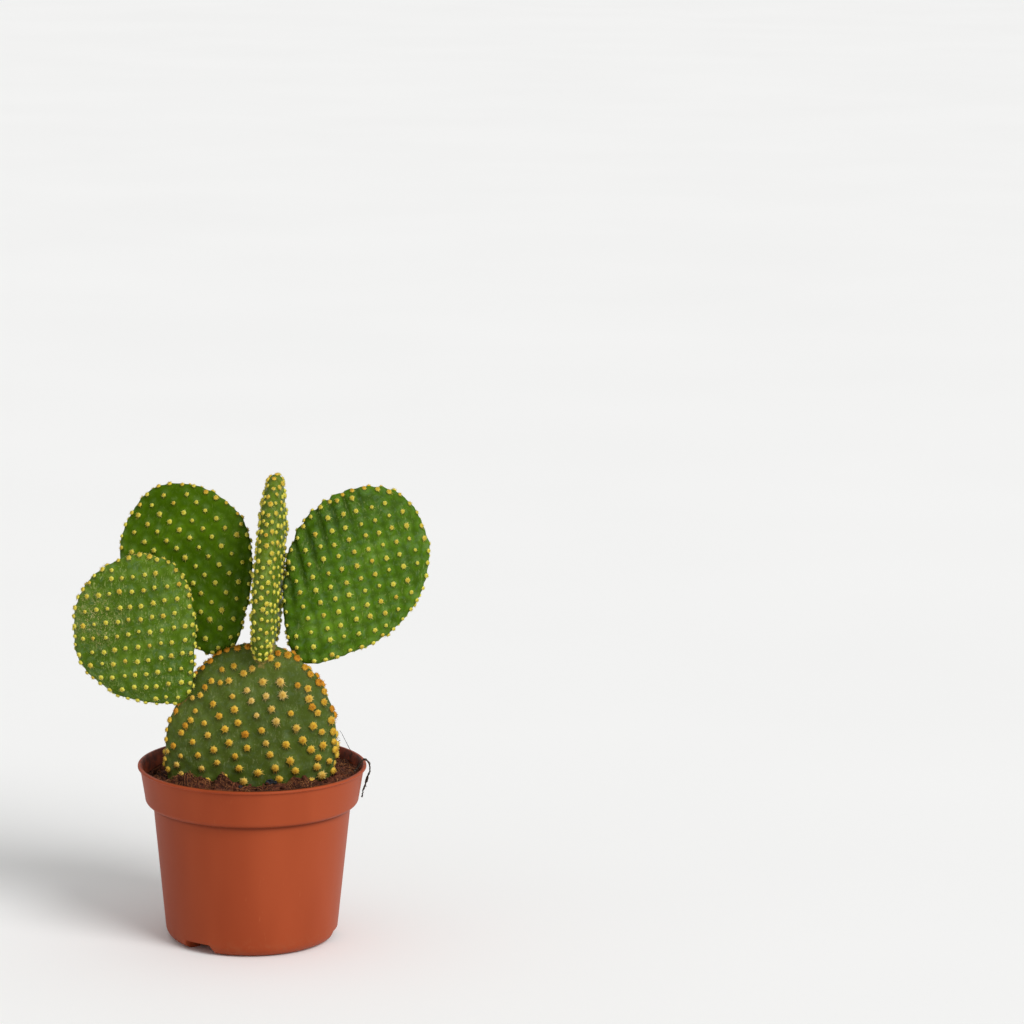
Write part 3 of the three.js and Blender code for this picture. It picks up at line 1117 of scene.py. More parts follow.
    def relief(self, local: np.ndarray, gap: np.ndarray, groove: np.ndarray) -> np.ndarray:
        """Returns how far the skin rises over the pad's smooth form.

        Args:
            local: Its points in the pad's frame.
            gap: Each point's distance to the nearest tuft.
            groove: The furrows' depth, 0 to 1.

        Returns:
            The rise of each point in millimetres.
        """
        rise = self.bump * np.exp(-((gap / self.bump_width) ** 2))
        rise += 0.3 * swell(local, 11, self.seed) + 0.1 * swell(local, 3.2, self.seed + 5)
        return rise - self.groove_depth * groove

    def grooves(self, local: np.ndarray) -> np.ndarray:
        """Returns furrows between the tuft rows at the left side of the front face.

        Args:
            local: The skin's points in the pad's frame.

        Returns:
            How deep the furrow is at each point, 0 to 1.
        """
        if not self.groove_depth:
            return np.zeros(len(local))
        first, second = math.radians(self.rows.step_angle), math.radians(self.rows.row_angle)
        pitch = self.rows.step * abs(math.sin(second - first))
        x = local[:, 0] - self.form.centre[0] - self.rows.offset[0]
        z = local[:, 2] - self.form.centre[1] - self.rows.offset[1]
        away = z * math.cos(second) - x * math.sin(second)
        furrow = (0.5 - 0.5 * np.cos(TAU * away / pitch)) ** 3
        side = 1 - eased(local[:, 0], -0.36 * self.form.width, -0.18 * self.form.width)
        return furrow * side * (local[:, 1] < 0)

    def paint_marks(
        self,
        mesh: bpy.types.Mesh,
        local: np.ndarray,
        tufts: np.ndarray,
        gap: np.ndarray,
        groove: np.ndarray,
        down: np.ndarray,
    ) -> None:
        """Stores where the skin is stained and shaded, powdery, corky, scarred or in a shaded
        valley.

        Args:
            mesh: The skin's mesh.
            local: Its points in the pad's frame.
            tufts: The tufts' places.
            gap: Each point's distance to the nearest tuft.
            groove: The furrows' depth, 0 to 1.
            down: Straight down in the pad's frame.
        """
        radius = self.rows.radius
        below = nearest(local, tufts + 0.5 * radius * down)
        above = nearest(local, tufts - 1.6 * radius * down)
        # Painted shadow: a mark just below each tuft, partly the areole's own stain and partly the
        # tuft's shadow.
        paint(mesh, "stain_and_shadow", self.stain_and_shade_share * (1 - eased(below, 0.7 * radius, 1.45 * radius)))
        paint(mesh, "bloom", 1 - eased(above, 0.3 * radius, 2.2 * radius))
        # Painted valley shade: darker away from the tufts, between the bumps, and in the furrows.
        between = eased(gap, 0.25 * self.rows.step, 0.62 * self.rows.step)
        paint(mesh, "valley_shade", between * 0.75 + groove)
        joint = np.zeros(len(local))
        in_part = self.form.in_part(local)
        for other in self.neighbours:
            joint = np.maximum(joint, other.holds(in_part, self.joint_reach).astype(float))
        paint(mesh, "joint", joint)
        scar = np.zeros(len(local))
        if self.scar_spot:
            across, along, reach = self.scar_spot
            away = np.hypot(local[:, 0] - across, local[:, 2] - along)
            scar = (1 - eased(away, reach * 0.35, reach)) * (local[:, 1] < 0)
        paint(mesh, "scar", scar)

    def build_tufts(
        self,
        places: np.ndarray,
        normals: np.ndarray,
        psi: np.ndarray,
        hair: bpy.types.Material,
        templates: "TuftTemplates",
    ) -> bpy.types.Object:
        """Sets a tuft on each areole.

        Args:
            places: The tufts' places in the pad's frame.
            normals: The skin's normals there.
            psi: Their places between the front and the back.
            hair: The tufts' material.
            templates: The tufts' shapes.

        Returns:
            The tufts as one piece.
        """
        name = f"{self.form.node}_tufts"
        draw = np.random.default_rng(self.seed + 2)
        pick = random.Random(self.seed + 3)
        pale = self.paleness(places, normals, psi, draw)
        placement = self.form.placement()
        turn = placement.to_3x3()
        rise = self.relief(places, np.zeros(len(places)), self.grooves(places))
        bm = bmesh.new()
        counts = []
        for place, normal, faded, lift in zip(places, normals, pale, rise):
            template = templates.pick(pick, faded)
            direction = (turn @ Vector(normal)).normalized()
            side = direction.cross(UP)
            spin = facing(direction).to_3x3().inverted() @ direction.cross(side)
            angle = math.atan2(spin.y, spin.x) + pick.gauss(0, 0.6)
            size = self.rows.radius * pick.uniform(1 - self.rows.spread, 1 + self.rows.spread)
            size *= 1 + self.rows.growth * place[0] / (self.form.width / 2)
            foot = placement @ Vector(place) + direction * (float(lift) - 0.1 * size)
            matrix = (
                Matrix.Translation(foot * MM)
                @ facing(direction, angle)
                @ Matrix.Scale(size * MM, 4)
            )
            copy = template.copy()
            copy.transform(matrix)
            bm.from_mesh(copy)
            counts.append(len(copy.vertices))
            bpy.data.meshes.remove(copy)
        mesh = mesh_from(bm, name)
        paint(mesh, "pale", np.repeat(pale, counts))
        return enlist(placed_object(name, mesh, hair), Slot.TUFT)


@dataclass
class TuftTemplates:
    """Shapes of one tuft of radius 1: a low cushion packed with short bristles.

    Local +Z is away from the skin, and a tail of longer hairs leans towards local +X. Tufts whose
    paleness lies in the shaggy range are shaggy, and a share of the others has a tail.
    """

    hairs: int
    kinds: int = 5
    cushion: float = 0.8
    flatness: float = 0.74
    lift: float = 0.12
    root: float = 0.35
    shaggy_range: tuple[float, float] = (0.6, 0.85)
    tailed_share: float = 0.35
    plain: list[bpy.types.Mesh] = field(default_factory=list)
    tailed: list[bpy.types.Mesh] = field(default_factory=list)
    shaggy: list[bpy.types.Mesh] = field(default_factory=list)

    def __post_init__(self) -> None:
        """Makes the shapes."""
        for seed in range(self.kinds):
            self.plain.append(self.shape(seed, self.hairs, 1.08, 0))
            self.tailed.append(self.shape(seed + 10, self.hairs, 1.1, 3))
            self.shaggy.append(self.shape(seed + 20, self.hairs + 6, 1.2, 3))

    def shape(self, seed: int, hairs: int, length: float, tail: int) -> bpy.types.Mesh:
        """Makes one tuft.

        Args:
            seed: Picks its random draws.
            hairs: How many bristles it has.
            length: How far they reach from its middle, in tuft radii.
            tail: How many longer hairs lean to one side.

        Returns:
            The tuft's mesh with its "reach" attribute.
        """
        pick = random.Random(seed)
        bm = bmesh.new()
        bmesh.ops.create_uvsphere(bm, u_segments=7, v_segments=4, radius=self.cushion)
        for vert in bm.verts:
            vert.co *= pick.uniform(0.9, 1.08)
        golden_angle = math.pi * (3 - math.sqrt(5))
        for i in range(hairs):
            steep = 1 - 0.95 * (i + 0.5) / hairs
            around = i * golden_angle + pick.uniform(-0.25, 0.25)
            self.add_hair(bm, pick, steep, around, length * pick.uniform(0.86, 1.14), 0.2)
        for _ in range(tail):
            reach = length * pick.uniform(1.25, 1.6)
            self.add_hair(bm, pick, pick.uniform(0.1, 0.5), pick.gauss(0, 0.5), reach, 0.12)
        flat = Matrix.Translation((0, 0, self.lift)) @ Matrix.Diagonal((1, 1, self.flatness, 1))
        bmesh.ops.transform(bm, matrix=flat, verts=bm.verts)
        mesh = mesh_from(bm, "tuft_shape")
        places = vertices_of(mesh)
        out = np.hypot(places[:, 0], places[:, 1])
        away = np.linalg.norm(places, axis=1)
        # reach also sets where the hair material paints shade at the tuft's foot.
        paint(mesh, "reach", 0.5 * eased(out, 0, 0.9) + 0.5 * eased(away, 0.72, 1.1 * length))
        return mesh

    def add_hair(
        self,
        bm: bmesh.types.BMesh,
        pick: random.Random,
        steep: float,
        around: float,
        reach: float,
        width: float,
    ) -> None:
        """Adds one pointed bristle from near the tuft's middle.

        Args:
            bm: The tuft's bmesh.
            pick: Its random source.
            steep: The sine of its height over the skin.
            around: Its direction round the tuft.
            reach: How far its tip is from the tuft's middle.
            width: Its radius at the root.
        """
        flat = math.sqrt(1 - steep * steep)
        direction = Vector((flat * math.cos(around), flat * math.sin(around), steep))
        place = direction * (self.root + reach) / 2
        bmesh.ops.create_cone(
            bm,
            cap_ends=False,
            segments=3,
            radius1=width * pick.uniform(0.8, 1.2),
            radius2=0,
            depth=reach - self.root,
            matrix=Matrix.Translation(place) @ facing(direction, pick.uniform(0, TAU)),
        )

    def pick(self, source: random.Random, pale: float) -> bpy.types.Mesh:
        """Picks a shape for a tuft that is so faded."""
        least, most = self.shaggy_range
        if least < pale < most:
            return source.choice(self.shaggy)
        return source.choice(self.tailed if source.random() < self.tailed_share else self.plain)


@dataclass
class GrowerPot:
    """The tapered grower's pot with its collar, thin lip, foot notches and drainage holes."""

    rim_radius: float = 60.0
    height: float = 92.9
    wall: float = 1.3
    foot_radius: float = 44.8
    taper: float = 0.099
    foot_corner: float = 6.5
    foot_inner: float = 34.5
    foot_round: float = 2.0
    floor_lift: float = 5.0
    collar_foot: float = 71.9
    collar_turn: float = 75.2
    collar_radius: float = 56.1
    collar_top: float = 58.7
    lip_height: float = 1.8
    lip_round: float = 0.6
    notches: int = 3
    notch_azimuth: float = -39.3
    notch_half: float = 9.2
    notch_flare: float = 3.5
    notch_height: float = 5.6
    drains: int = 6
    drain_ring: float = 20.0
    drain_radius: float = 4.0
    segments: int = 360
    sharp: float = 35.0

    def body_radius(self, z: float) -> float:
        """Returns the tapered side's radius at a height."""
        return self.foot_radius + self.taper * z

    def side(self, inset: float) -> list[tuple[float, float]]:
        """Returns the side from the foot ring to the lip, moved inwards by an inset."""
        corner = self.foot_corner
        points = []
        for i in range(9):
            angle = RIGHT_ANGLE * i / 8
            radius = self.body_radius(corner) - corner + (corner - inset) * math.sin(angle)
            points.append((radius, corner - (corner - inset) * math.cos(angle)))
        for share in (0.25, 0.5, 0.75):
            z = corner + share * (self.collar_foot - corner)
            points.append((self.body_radius(z) - inset, z))
        depth = self.collar_radius - self.body_radius(self.collar_foot)
        for i in range(13):
            angle = RIGHT_ANGLE * i / 12
            z = self.collar_foot + (self.collar_turn - self.collar_foot) * (1 - math.cos(angle))
            points.append((self.body_radius(self.collar_foot) + depth * math.sin(angle) - inset, z))
        points.append((self.collar_top - inset, self.height - self.lip_height))
        return points

    def profile(self) -> list[tuple[float, float, float]]:
        """Returns radius, height and 1 on the inside of each point of the wall's closed section."""
        lip_foot = self.height - self.lip_height + self.lip_round
        floor_top = self.floor_lift + self.wall
        channel = self.foot_inner + self.wall
        outside = [
            (0, self.floor_lift),
            (self.foot_inner - self.foot_round, self.floor_lift),
            (self.foot_inner - 0.3 * self.foot_round, self.floor_lift - 0.3 * self.foot_round),
            (self.foot_inner, self.floor_lift - self.foot_round),
            (self.foot_inner, 0.3),
            (self.foot_inner + 0.3, 0),
            *self.side(0),
            (self.rim_radius - 0.3, lip_foot - 0.15),
            (self.rim_radius, lip_foot + 0.15),
        ]
        for i in range(6):
            angle = RIGHT_ANGLE * i / 5
            radius = self.rim_radius + self.lip_round * (math.cos(angle) - 1)
            outside.append((radius, self.height - self.lip_round * (1 - math.sin(angle))))
        inside = [
            (self.rim_radius - self.wall - self.lip_round + 0.2, self.height),
            (self.rim_radius - self.wall - self.lip_round, self.height - 0.25),
            *reversed(self.side(self.wall)),
            (channel + 0.3, self.wall),
            (channel, self.wall + 0.3),
            (channel, floor_top - self.foot_round),
            (channel - 0.3 * self.foot_round, floor_top - 0.3 * self.foot_round),
            (channel - self.foot_round, floor_top),
            (0, floor_top),
        ]
        return [(r, z, 0.0) for r, z in outside] + [(r, z, 1.0) for r, z in inside]

    def shell(self) -> bmesh.types.BMesh:
        """Spins the section into the pot's wall and floor, with the notches pressed in."""
        bm = bmesh.new()
        inner = bm.verts.layers.float.new("inner")
        verts = []
        for radius, z, inside in self.profile():
            vert = bm.verts.new((0, -radius * MM, z * MM))
            vert[inner] = inside
            verts.append(vert)
        spin_section(bm, verts, self.segments)
        for vert in bm.verts:
            roof = self.notch_roof(math.degrees(math.atan2(vert.co.x, -vert.co.y)))
            if roof > 0 and vert.co.xy.length > (self.foot_inner - self.foot_round) * MM:
                vert.co.z = max(vert.co.z, (roof + vert[inner] * self.wall) * MM)
        bmesh.ops.recalc_face_normals(bm, faces=bm.faces)
        return bm

    def notch_roof(self, azimuth: float) -> float:
        """Returns how high the foot is pressed in at an azimuth in degrees from the front."""
        pitch = 360 / self.notches
        away = abs((azimuth - self.notch_azimuth + pitch / 2) % pitch - pitch / 2)
        share = min(max((self.notch_half + self.notch_flare - away) / self.notch_flare, 0), 1)
        return self.notch_height * math.sin(RIGHT_ANGLE * share) if share > 0 else 0.0

    def build(self) -> bpy.types.Object:
        """Builds the pot with its drainage holes cut through the floor."""
        name = "grower_pot"
        mesh = mesh_from(self.shell(), name, self.sharp)
        piece = placed_object(name, mesh, MouldedPolypropylene().build())
        bm = bmesh.new()
        for i in range(self.drains):
            angle = TAU * (i + 0.5) / self.drains
            place = (
                self.drain_ring * MM * math.cos(angle),
                self.drain_ring * MM * math.sin(angle),
                (self.floor_lift + self.wall / 2) * MM,
            )
            bmesh.ops.create_cone(
                bm,
                cap_ends=True,
                segments=32,
                radius1=self.drain_radius * MM,
                radius2=self.drain_radius * MM,
                depth=4 * MM,
                matrix=Matrix.Translation(place),
            )
        cutter = bpy.data.objects.new("drain_cutter", mesh_from(bm, "drain_cutter"))
        bpy.context.scene.collection.objects.link(cutter)
        cut = piece.modifiers.new("drains", "BOOLEAN")
        cut.object = cutter
        cut.operation = "DIFFERENCE"
        cut.solver = "EXACT"
        depsgraph = bpy.context.evaluated_depsgraph_get()
        holed = bpy.data.meshes.new_from_object(piece.evaluated_get(depsgraph))
        piece.modifiers.clear()
        piece.data = holed
        bpy.data.objects.remove(cutter)
        return enlist(piece, Slot.POT, "pot")

    def inner_radius(self, z: float) -> float:
        """Returns the radius of the pot's inside at a height in the collar."""
        share = (z - self.collar_turn) / (self.height - self.lip_height - self.collar_turn)
        return self.collar_radius + share * (self.collar_top - self.collar_radius) - self.wall


@dataclass
class PeatFilling:
    """The peat: a lumpy filling heaped against the old pad, with crumbs, fibres and chips on it.

    A clod is its x, y, top height and reach, and a chip its x, y and size. The filling is level at
    the pot's axis but for its lumps, rises by the slope towards +X, and is heaped by the mound.
    """

    pot: GrowerPot
    old_pad: PadForm
    level: float = 86.0
    slope: float = 0.03
    mound: float = 3.2
    mound_reach: float = 26.0
    mound_middle: float = 2.0
    mound_half: float = 38.0
    lumps: float = 0.8
    clods: tuple[tuple[float, float, float, float], ...] = (
        (-39, -24, 91.6, 4.0),
        (-33, -25, 93.6, 4.6),
        (-26, -26, 91.2, 4.2),
        (-15.5, -27, 93.2, 4.4),
        (22, -25, 91.4, 3.6),
        (27, -24.5, 90.8, 3.4),
        (44, -12, 90.4, 3.6),
    )
    chips: tuple[tuple[float, float, float], ...] = (
        (9.2, -25.4, 2.3),
        (12.4, -26, 1.3),
        (-6, -28, 1.2),
    )
    rings: int = 72
    segments: int = 300
    crumbs: int = 1500
    clod_crumbs: int = 45
    fibres: int = 420
    clod_fibres: int = 16
    clod_spread: float = 0.45
    crumb_least: float = 0.35
    crumb_span: float = 1.1
    fibre_lengths: tuple[float, float] = (3, 11)
    fibre_radii: tuple[float, float] = (0.1, 0.26)
    fibre_lifts: tuple[float, ...] = (0.2, 0.8, 2.6)
    seed: int = 11

    def height_at(self, x: float, y: float) -> float:
        """Returns the filling's height under its crumbs."""
        beside = max(abs(x - self.mound_middle) - self.mound_half, 0)
        away = math.hypot(beside, y - self.old_pad.root[1])
        heap = self.mound * max(1 - away / self.mound_reach, 0)
        waves = math.sin(0.31 * x + 0.9) * math.cos(0.37 * y) + 0.5 * math.sin(0.83 * x - 0.6 * y)
        return self.level + self.slope * x + heap + self.lumps * waves

    def rough_height(self, x: float, y: float) -> float:
        """Returns the filling's height with its clods."""
        place = Vector((x, y, 0))
        lumps = noise.fractal(place / 5, 0.7, 2.1, 4) * 1.1
        height = self.height_at(x, y) + lumps + abs(noise.noise(place / 1.7)) * 0.9 - 0.3
        for clod_x, clod_y, top, reach in self.clods:
            away = math.hypot(x - clod_x, y - clod_y) / reach
            height += max(top - height, 0) * math.exp(-away * away)
        return height

    @property
    def edge(self) -> float:
        """The filling's radius at its top."""
        return self.pot.inner_radius(self.level) - 0.1

    def build_filling(self, peat: bpy.types.Material) -> bpy.types.Object:
        """Builds the filling as one closed body.

        Args:
            peat: Its material.

        Returns:
            The filling.
        """
        name = "peat_filling"
        bm = bmesh.new()
        floor = self.pot.floor_lift + self.pot.wall + 0.3
        points = [(self.edge * i / self.rings, self.level) for i in range(self.rings + 1)]
        side = reversed(self.pot.side(self.pot.wall))
        points += [(r - 0.3, z) for r, z in side if floor + 1 < z < self.level - 4]
        points += [(self.pot.foot_inner - 2, floor), (0, floor)]
        verts = [bm.verts.new((0, -r * MM, z * MM)) for r, z in points]
        spin_section(bm, verts, self.segments)
        top = [vert for vert in bm.verts if vert.co.z > (self.level - 0.01) * MM]
        for vert in top:
            height = self.rough_height(vert.co.x / MM, vert.co.y / MM)
            vert.co.xy *= (self.pot.inner_radius(height) - 0.1) / self.edge
            vert.co.z = height * MM
        bmesh.ops.recalc_face_normals(bm, faces=bm.faces)
        return enlist(placed_object(name, mesh_from(bm, name), peat), Slot.PEAT, "soil")

    def spot(self, pick: random.Random, border: float) -> Vector:
        """Draws a place on the filling outside the old pad, so far from the pot's wall."""
        while True:
            radius = (self.edge - border) * math.sqrt(pick.random())
            angle = pick.uniform(0, TAU)
            place = Vector((radius * math.cos(angle), radius * math.sin(angle), self.level + 1))
            if not self.old_pad.holds(np.array([place]), 0.0)[0]:
                place.z = self.rough_height(place.x, place.y)
                return place

    def clod_spot(self, pick: random.Random, clod: tuple[float, float, float, float]) -> Vector:
        """Draws a place on one of the clods."""
        x = clod[0] + pick.gauss(0, self.clod_spread * clod[3])
        y = clod[1] + pick.gauss(0, self.clod_spread * clod[3])
        return Vector((x, y, self.rough_height(x, y)))

    def build_crumbs(self, peat: bpy.types.Material) -> bpy.types.Object:
        """Scatters lumps of peat over the filling.

        Args:
            peat: Their material.

        Returns:
            The crumbs as one piece.
        """
        name = "peat_crumbs"
        pick = random.Random(self.seed)
        bm = bmesh.new()
        spots = [None] * self.crumbs
        spots += [clod for clod in self.clods for _ in range(self.clod_crumbs)]
        for clod in spots:
            size = self.crumb_least + self.crumb_span * pick.random() ** 2.5
            place = self.clod_spot(pick, clod) if clod else self.spot(pick, size)
            spans = ((0.7, 1.5), (0.6, 1.2), (0.5, 0.9))
            stretch = Vector([pick.uniform(*span) for span in spans])
            angle = pick.uniform(0, TAU)
            turn = Matrix.Rotation(angle, 4, Vector((pick.random(), pick.random(), 1)))
            matrix = Matrix.Translation((place + UP * 0.2 * size) * MM) @ turn
            matrix = matrix @ Matrix.Diagonal((*(stretch * size * MM), 1))
            add_lump(bm, pick, matrix, 1, 0.12, size)
        return enlist(placed_object(name, mesh_from(bm, name, 50), peat), Slot.PEAT)

    def fibre(
        self, pick: random.Random, place: Vector, length: float, radius: float, lift: float
    ) -> Strand:
        """Bends one fibre over the filling.

        Args:
            pick: The random source.
            place: Where it starts.
            length: The fibre's length.
            radius: Its radius.
            lift: How far its middle may stand off the peat.

        Returns:
            The fibre.
        """
        heading = pick.uniform(0, TAU)
        curl = pick.gauss(0, 0.28)
        points = 8
        arch = lift * pick.random()
        route, radii = [], []
        for i in range(points):
            share = i / (points - 1)
            inside = min(place.xy.length, self.edge - 0.6) / max(place.xy.length, 0.01)
            x, y = place.x * inside, place.y * inside
            z = self.rough_height(x, y) + 0.3 + arch * math.sin(math.pi * share)
            route.append(Vector((x, y, z)))
            radii.append(radius * (1 - 0.6 * share))
            heading += curl + pick.gauss(0, 0.25)
            place = place + Vector((math.cos(heading), math.sin(heading), 0)) * length / points
        return Strand(tuple(route), tuple(radii))

    def build_fibres(self, straw: bpy.types.Material) -> bpy.types.Object:
        """Lays tan fibres over the filling.

        Args:
            straw: Their material.

        Returns:
            The fibres as one piece.
        """
        name = "peat_fibres"
        pick = random.Random(self.seed + 1)
        places = [self.spot(pick, 2.0) for _ in range(self.fibres)]
        clods = [clod for clod in self.clods for _ in range(self.clod_fibres)]
        places += [self.clod_spot(pick, clod) for clod in clods]
        fibres = []
        for place in places:
            length = pick.uniform(*self.fibre_lengths)
            radius = pick.uniform(*self.fibre_radii)
            fibres.append(self.fibre(pick, place, length, radius, pick.choice(self.fibre_lifts)))
        return enlist(placed_object(name, strands_mesh(name, fibres), straw), Slot.PEAT)

    def build_chips(self, slate: bpy.types.Material) -> bpy.types.Object:
        """Lays a few grey chips against the old pad's foot.

        Args:
            slate: Their material.

        Returns:
            The chips as one piece.
        """
        name = "peat_chips"
        pick = random.Random(self.seed + 2)
        bm = bmesh.new()
        for x, y, size in self.chips:
            place = Vector((x, y, self.rough_height(x, y) + 0.5 * size))
            roll = Matrix.Rotation(pick.uniform(-0.4, 0.4), 4, "Y")
            turn = roll @ Matrix.Rotation(pick.uniform(-0.5, 0.5), 4, "X")
            scale = Matrix.Diagonal((*(Vector((1, 0.5, 0.8)) * size * MM), 1))
            add_lump(bm, pick, Matrix.Translation(place * MM) @ turn @ scale, 2, 0.09, size)
        return enlist(placed_object(name, mesh_from(bm, name, 30), slate), Slot.PEAT)


@dataclass
class DeadRoots:
    """The dead root that hangs over the rim, a thin filament and a short twig behind it."""

    radius: float = 0.6
    filament_radius: float = 0.16
    twig_radius: float = 0.32
    route: tuple[tuple[float, float, float], ...] = (
        (53.5, -7, 89.9),
        (55, -6.2, 91.7),
        (57, -5.6, 94.8),
        (59.2, -5.2, 96.2),
        (61.2, -5, 94.2),
        (61.6, -5, 90),
        (60.4, -5.2, 87),
        (59.2, -5.5, 82.6),
        (57.9, -6, 78),
        (57.5, -6.3, 76),
    )
    branch: tuple[tuple[float, float, float], ...] = (
        (60.6, -5.2, 87.6),
        (60.6, -6, 85.4),
        (59.5, -6.3, 83.5),
        (59.7, -6.4, 81.4),
    )
    filament: tuple[tuple[float, float, float], ...] = (
        (52.5, 22, 87.5),
        (52.9, 23, 92),
        (50.2, 24, 97.5),
        (48.4, 24.5, 101),
        (47.6, 25, 102.6),
        (46.4, 25.5, 104.2),
    )
    twig: tuple[tuple[float, float, float], ...] = (
        (44, 27, 87.5),
        (45, 26, 96.4),
        (46.7, 25.5, 99),
    )

    def strand(
        self, points: Sequence[tuple[float, float, float]], radius: float, gnarl: float, seed: int
    ) -> Strand:
        """Bends a tapered strand through points.

        Args:
            points: Places along it.
            radius: Its radius at the first of them.
            gnarl: How unevenly it grew, as a share of its radius.
            seed: Picks its random draws.

        Returns:
            The strand.
        """
        pick = random.Random(seed)
        route = smooth_route([Vector(point) for point in points], 7)
        bent, radii = [], []
        for i, place in enumerate(route):
            bent.append(place + gauss_vector(pick) * gnarl * radius * 0.3)
            taper = 1 - 0.45 * i / len(route)
            radii.append(radius * taper * (1 + gnarl * pick.uniform(-0.5, 0.6)))
        return Strand(tuple(bent), tuple(radii))

    def build(self, bark: bpy.types.Material) -> list[bpy.types.Object]:
        """Builds the root with its branch, and the filament and twig.

        Args:
            bark: Their material.

        Returns:
            The two pieces.
        """
        root = [
            self.strand(self.route, self.radius, 0.6, 1),
            self.strand(self.branch, self.radius * 0.6, 0.6, 2),
        ]
        thin = [
            self.strand(self.filament, self.filament_radius, 0.3, 3),
            self.strand(self.twig, self.twig_radius, 0.5, 4),
        ]
        pieces = []
        for name, strands, nodes in (
            ("stray_root_bark", root, ("stray_root",)),
            ("stray_filaments", thin, ()),
        ):
            piece = placed_object(name, strands_mesh(name, strands, 2), bark)
            pieces.append(enlist(piece, Slot.ROOT, *nodes))
        return pieces


@dataclass(frozen=True)
class Studio:
    """A pale floor under an even sky and one broad light from the front right."""

    floor_size: float = 40.0
    towards_light: tuple[float, float, float] = (0.52, -0.59, 0.62)
    light_angle: float = 30.0
    light_strength: float = 2.1
    sky: float = 0.56

    def build(self) -> None:
        """Builds the floor, the lights and the world."""
        bm = bmesh.new()
        bmesh.ops.create_grid(bm, x_segments=1, y_segments=1, size=self.floor_size / 2)
        bmesh.ops.translate(bm, verts=bm.verts, vec=(0, self.floor_size / 4, -0.02 * MM))
        placed_object("studio_floor", mesh_from(bm, "studio_floor"), PaleCard().build())
        lamp = bpy.data.lights.new("broad_light", "SUN")
        lamp.angle = math.radians(self.light_angle)
        lamp.energy = self.light_strength
        holder = bpy.data.objects.new("broad_light", lamp)
        holder.rotation_euler = Vector(self.towards_light).to_track_quat("Z", "Y").to_euler()
        bpy.context.scene.collection.objects.link(holder)
        world = bpy.data.worlds.new("studio")
        world.use_nodes = True
        background = world.node_tree.nodes["Background"]
        background.inputs["Color"].default_value = linear("#ffffff")
        background.inputs["Strength"].default_value = self.sky
        bpy.context.scene.world = world
        bpy.context.scene.view_settings.view_transform = "Standard"


@dataclass(frozen=True)
class PhotoCamera:
    """The camera at the photograph's viewing angle, in metres and degrees."""

    place: tuple[float, float, float] = (0.0, -2.0, 0.606)
    lens: float = 137.48
    sensor: float = 36.0
    yaw: float = 3.86
    pitch: float = 10.69
    roll: float = 0.82

    def build(self) -> None:
        """Adds the camera and makes it the scene's."""
        yaw, pitch, roll = (math.radians(value) for value in (self.yaw, self.pitch, self.roll))
        ahead = Vector(
            (math.sin(yaw) * math.cos(pitch), math.cos(yaw) * math.cos(pitch), -math.sin(pitch))
        )
        level = Vector((math.cos(yaw), -math.sin(yaw), 0))
        above = level.cross(ahead)
        right = math.cos(roll) * level + math.sin(roll) * above
        up = math.cos(roll) * above - math.sin(roll) * level
        data = bpy.data.cameras.new("photo_camera")
        data.lens = self.lens
        data.sensor_width = self.sensor
        data.clip_end = 100
        camera = bpy.data.objects.new("photo_camera", data)
        turn = Matrix((right, up, -ahead)).transposed().to_4x4()
        camera.matrix_world = Matrix.Translation(self.place) @ turn
        bpy.context.scene.collection.objects.link(camera)
        bpy.context.scene.camera = camera


OLD_PAD = PadForm(
    node="pad_main",
    root=(-12, -12, 45),
    length=116.5,
    width=88.5,
    thickness=24,
    sweep=2,
    lean=10.5,
    turn=-6,
    fullness=0.85,
)
EAR_FRONT_LEFT = PadForm(
    node="ear_front_left",
    root=(-24, -17, 146),
    length=76.7,
    width=75.5,
    thickness=12.5,
    egg=0.28,
    blunt=-0.25,
    sweep=-19,
    lean=-52.5,
    lean_back=4,
    turn=-11,
    bow=2,
)
EAR_BACK_LEFT = PadForm(
    node="ear_back_left",
    root=(-12, -5, 153.5),
    length=94.6,
    width=69.2,
    thickness=12.5,
    egg=0.25,
    blunt=-0.25,
    sweep=-2,
    lean=-24.5,
    lean_back=16,
    turn=-4,
    bow=-3,
)
EAR_MIDDLE = PadForm(
    node="ear_middle",
    root=(5.6, -10, 149),
    length=98.5,
    width=59,
    thickness=11,
    egg=-0.1,
    blunt=0.1,
    lean=3.6,
    lean_back=3,
    turn=83,
    fullness=0.35,
)
EAR_RIGHT = PadForm(
    node="ear_right",
    root=(21.6, -8, 151.6),
    length=102.3,
    width=73.8,
    thickness=13,
    egg=0.22,
    blunt=-0.25,
    sweep=3,
    lean=34.5,
    lean_back=14,
    turn=4,
    bow=-3,
)
EARS = (EAR_FRONT_LEFT, EAR_BACK_LEFT, EAR_MIDDLE, EAR_RIGHT)

YOUNG_SKIN = WaxySkin(
    name="young_pad_skin_waxy",
    deep="#435f04",
    body="#4b6807",
    light="#5d7a19",
    valley_shade="#385203",
    haze_strength=0.26,
)
EDGE_SKIN = WaxySkin(
    name="young_pad_skin_yellow_green",
    deep="#4c6404",
    body="#566c0a",
    light="#6a801c",
    valley_shade="#465a05",
    fleck_strength=0.4,
    haze_strength=0.16,
)
# Its very dark valley colour paints shade between the bumps and deep in the furrows at the left of
# the front face.
RIDGED_SKIN = WaxySkin(
    name="young_pad_skin_ridged",
    deep="#3e5d03",
    body="#476a05",
    light="#5b7d17",
    valley_shade="#233802",
    fleck_strength=0.3,
    haze_strength=0.2,
    specular=0.08,
)
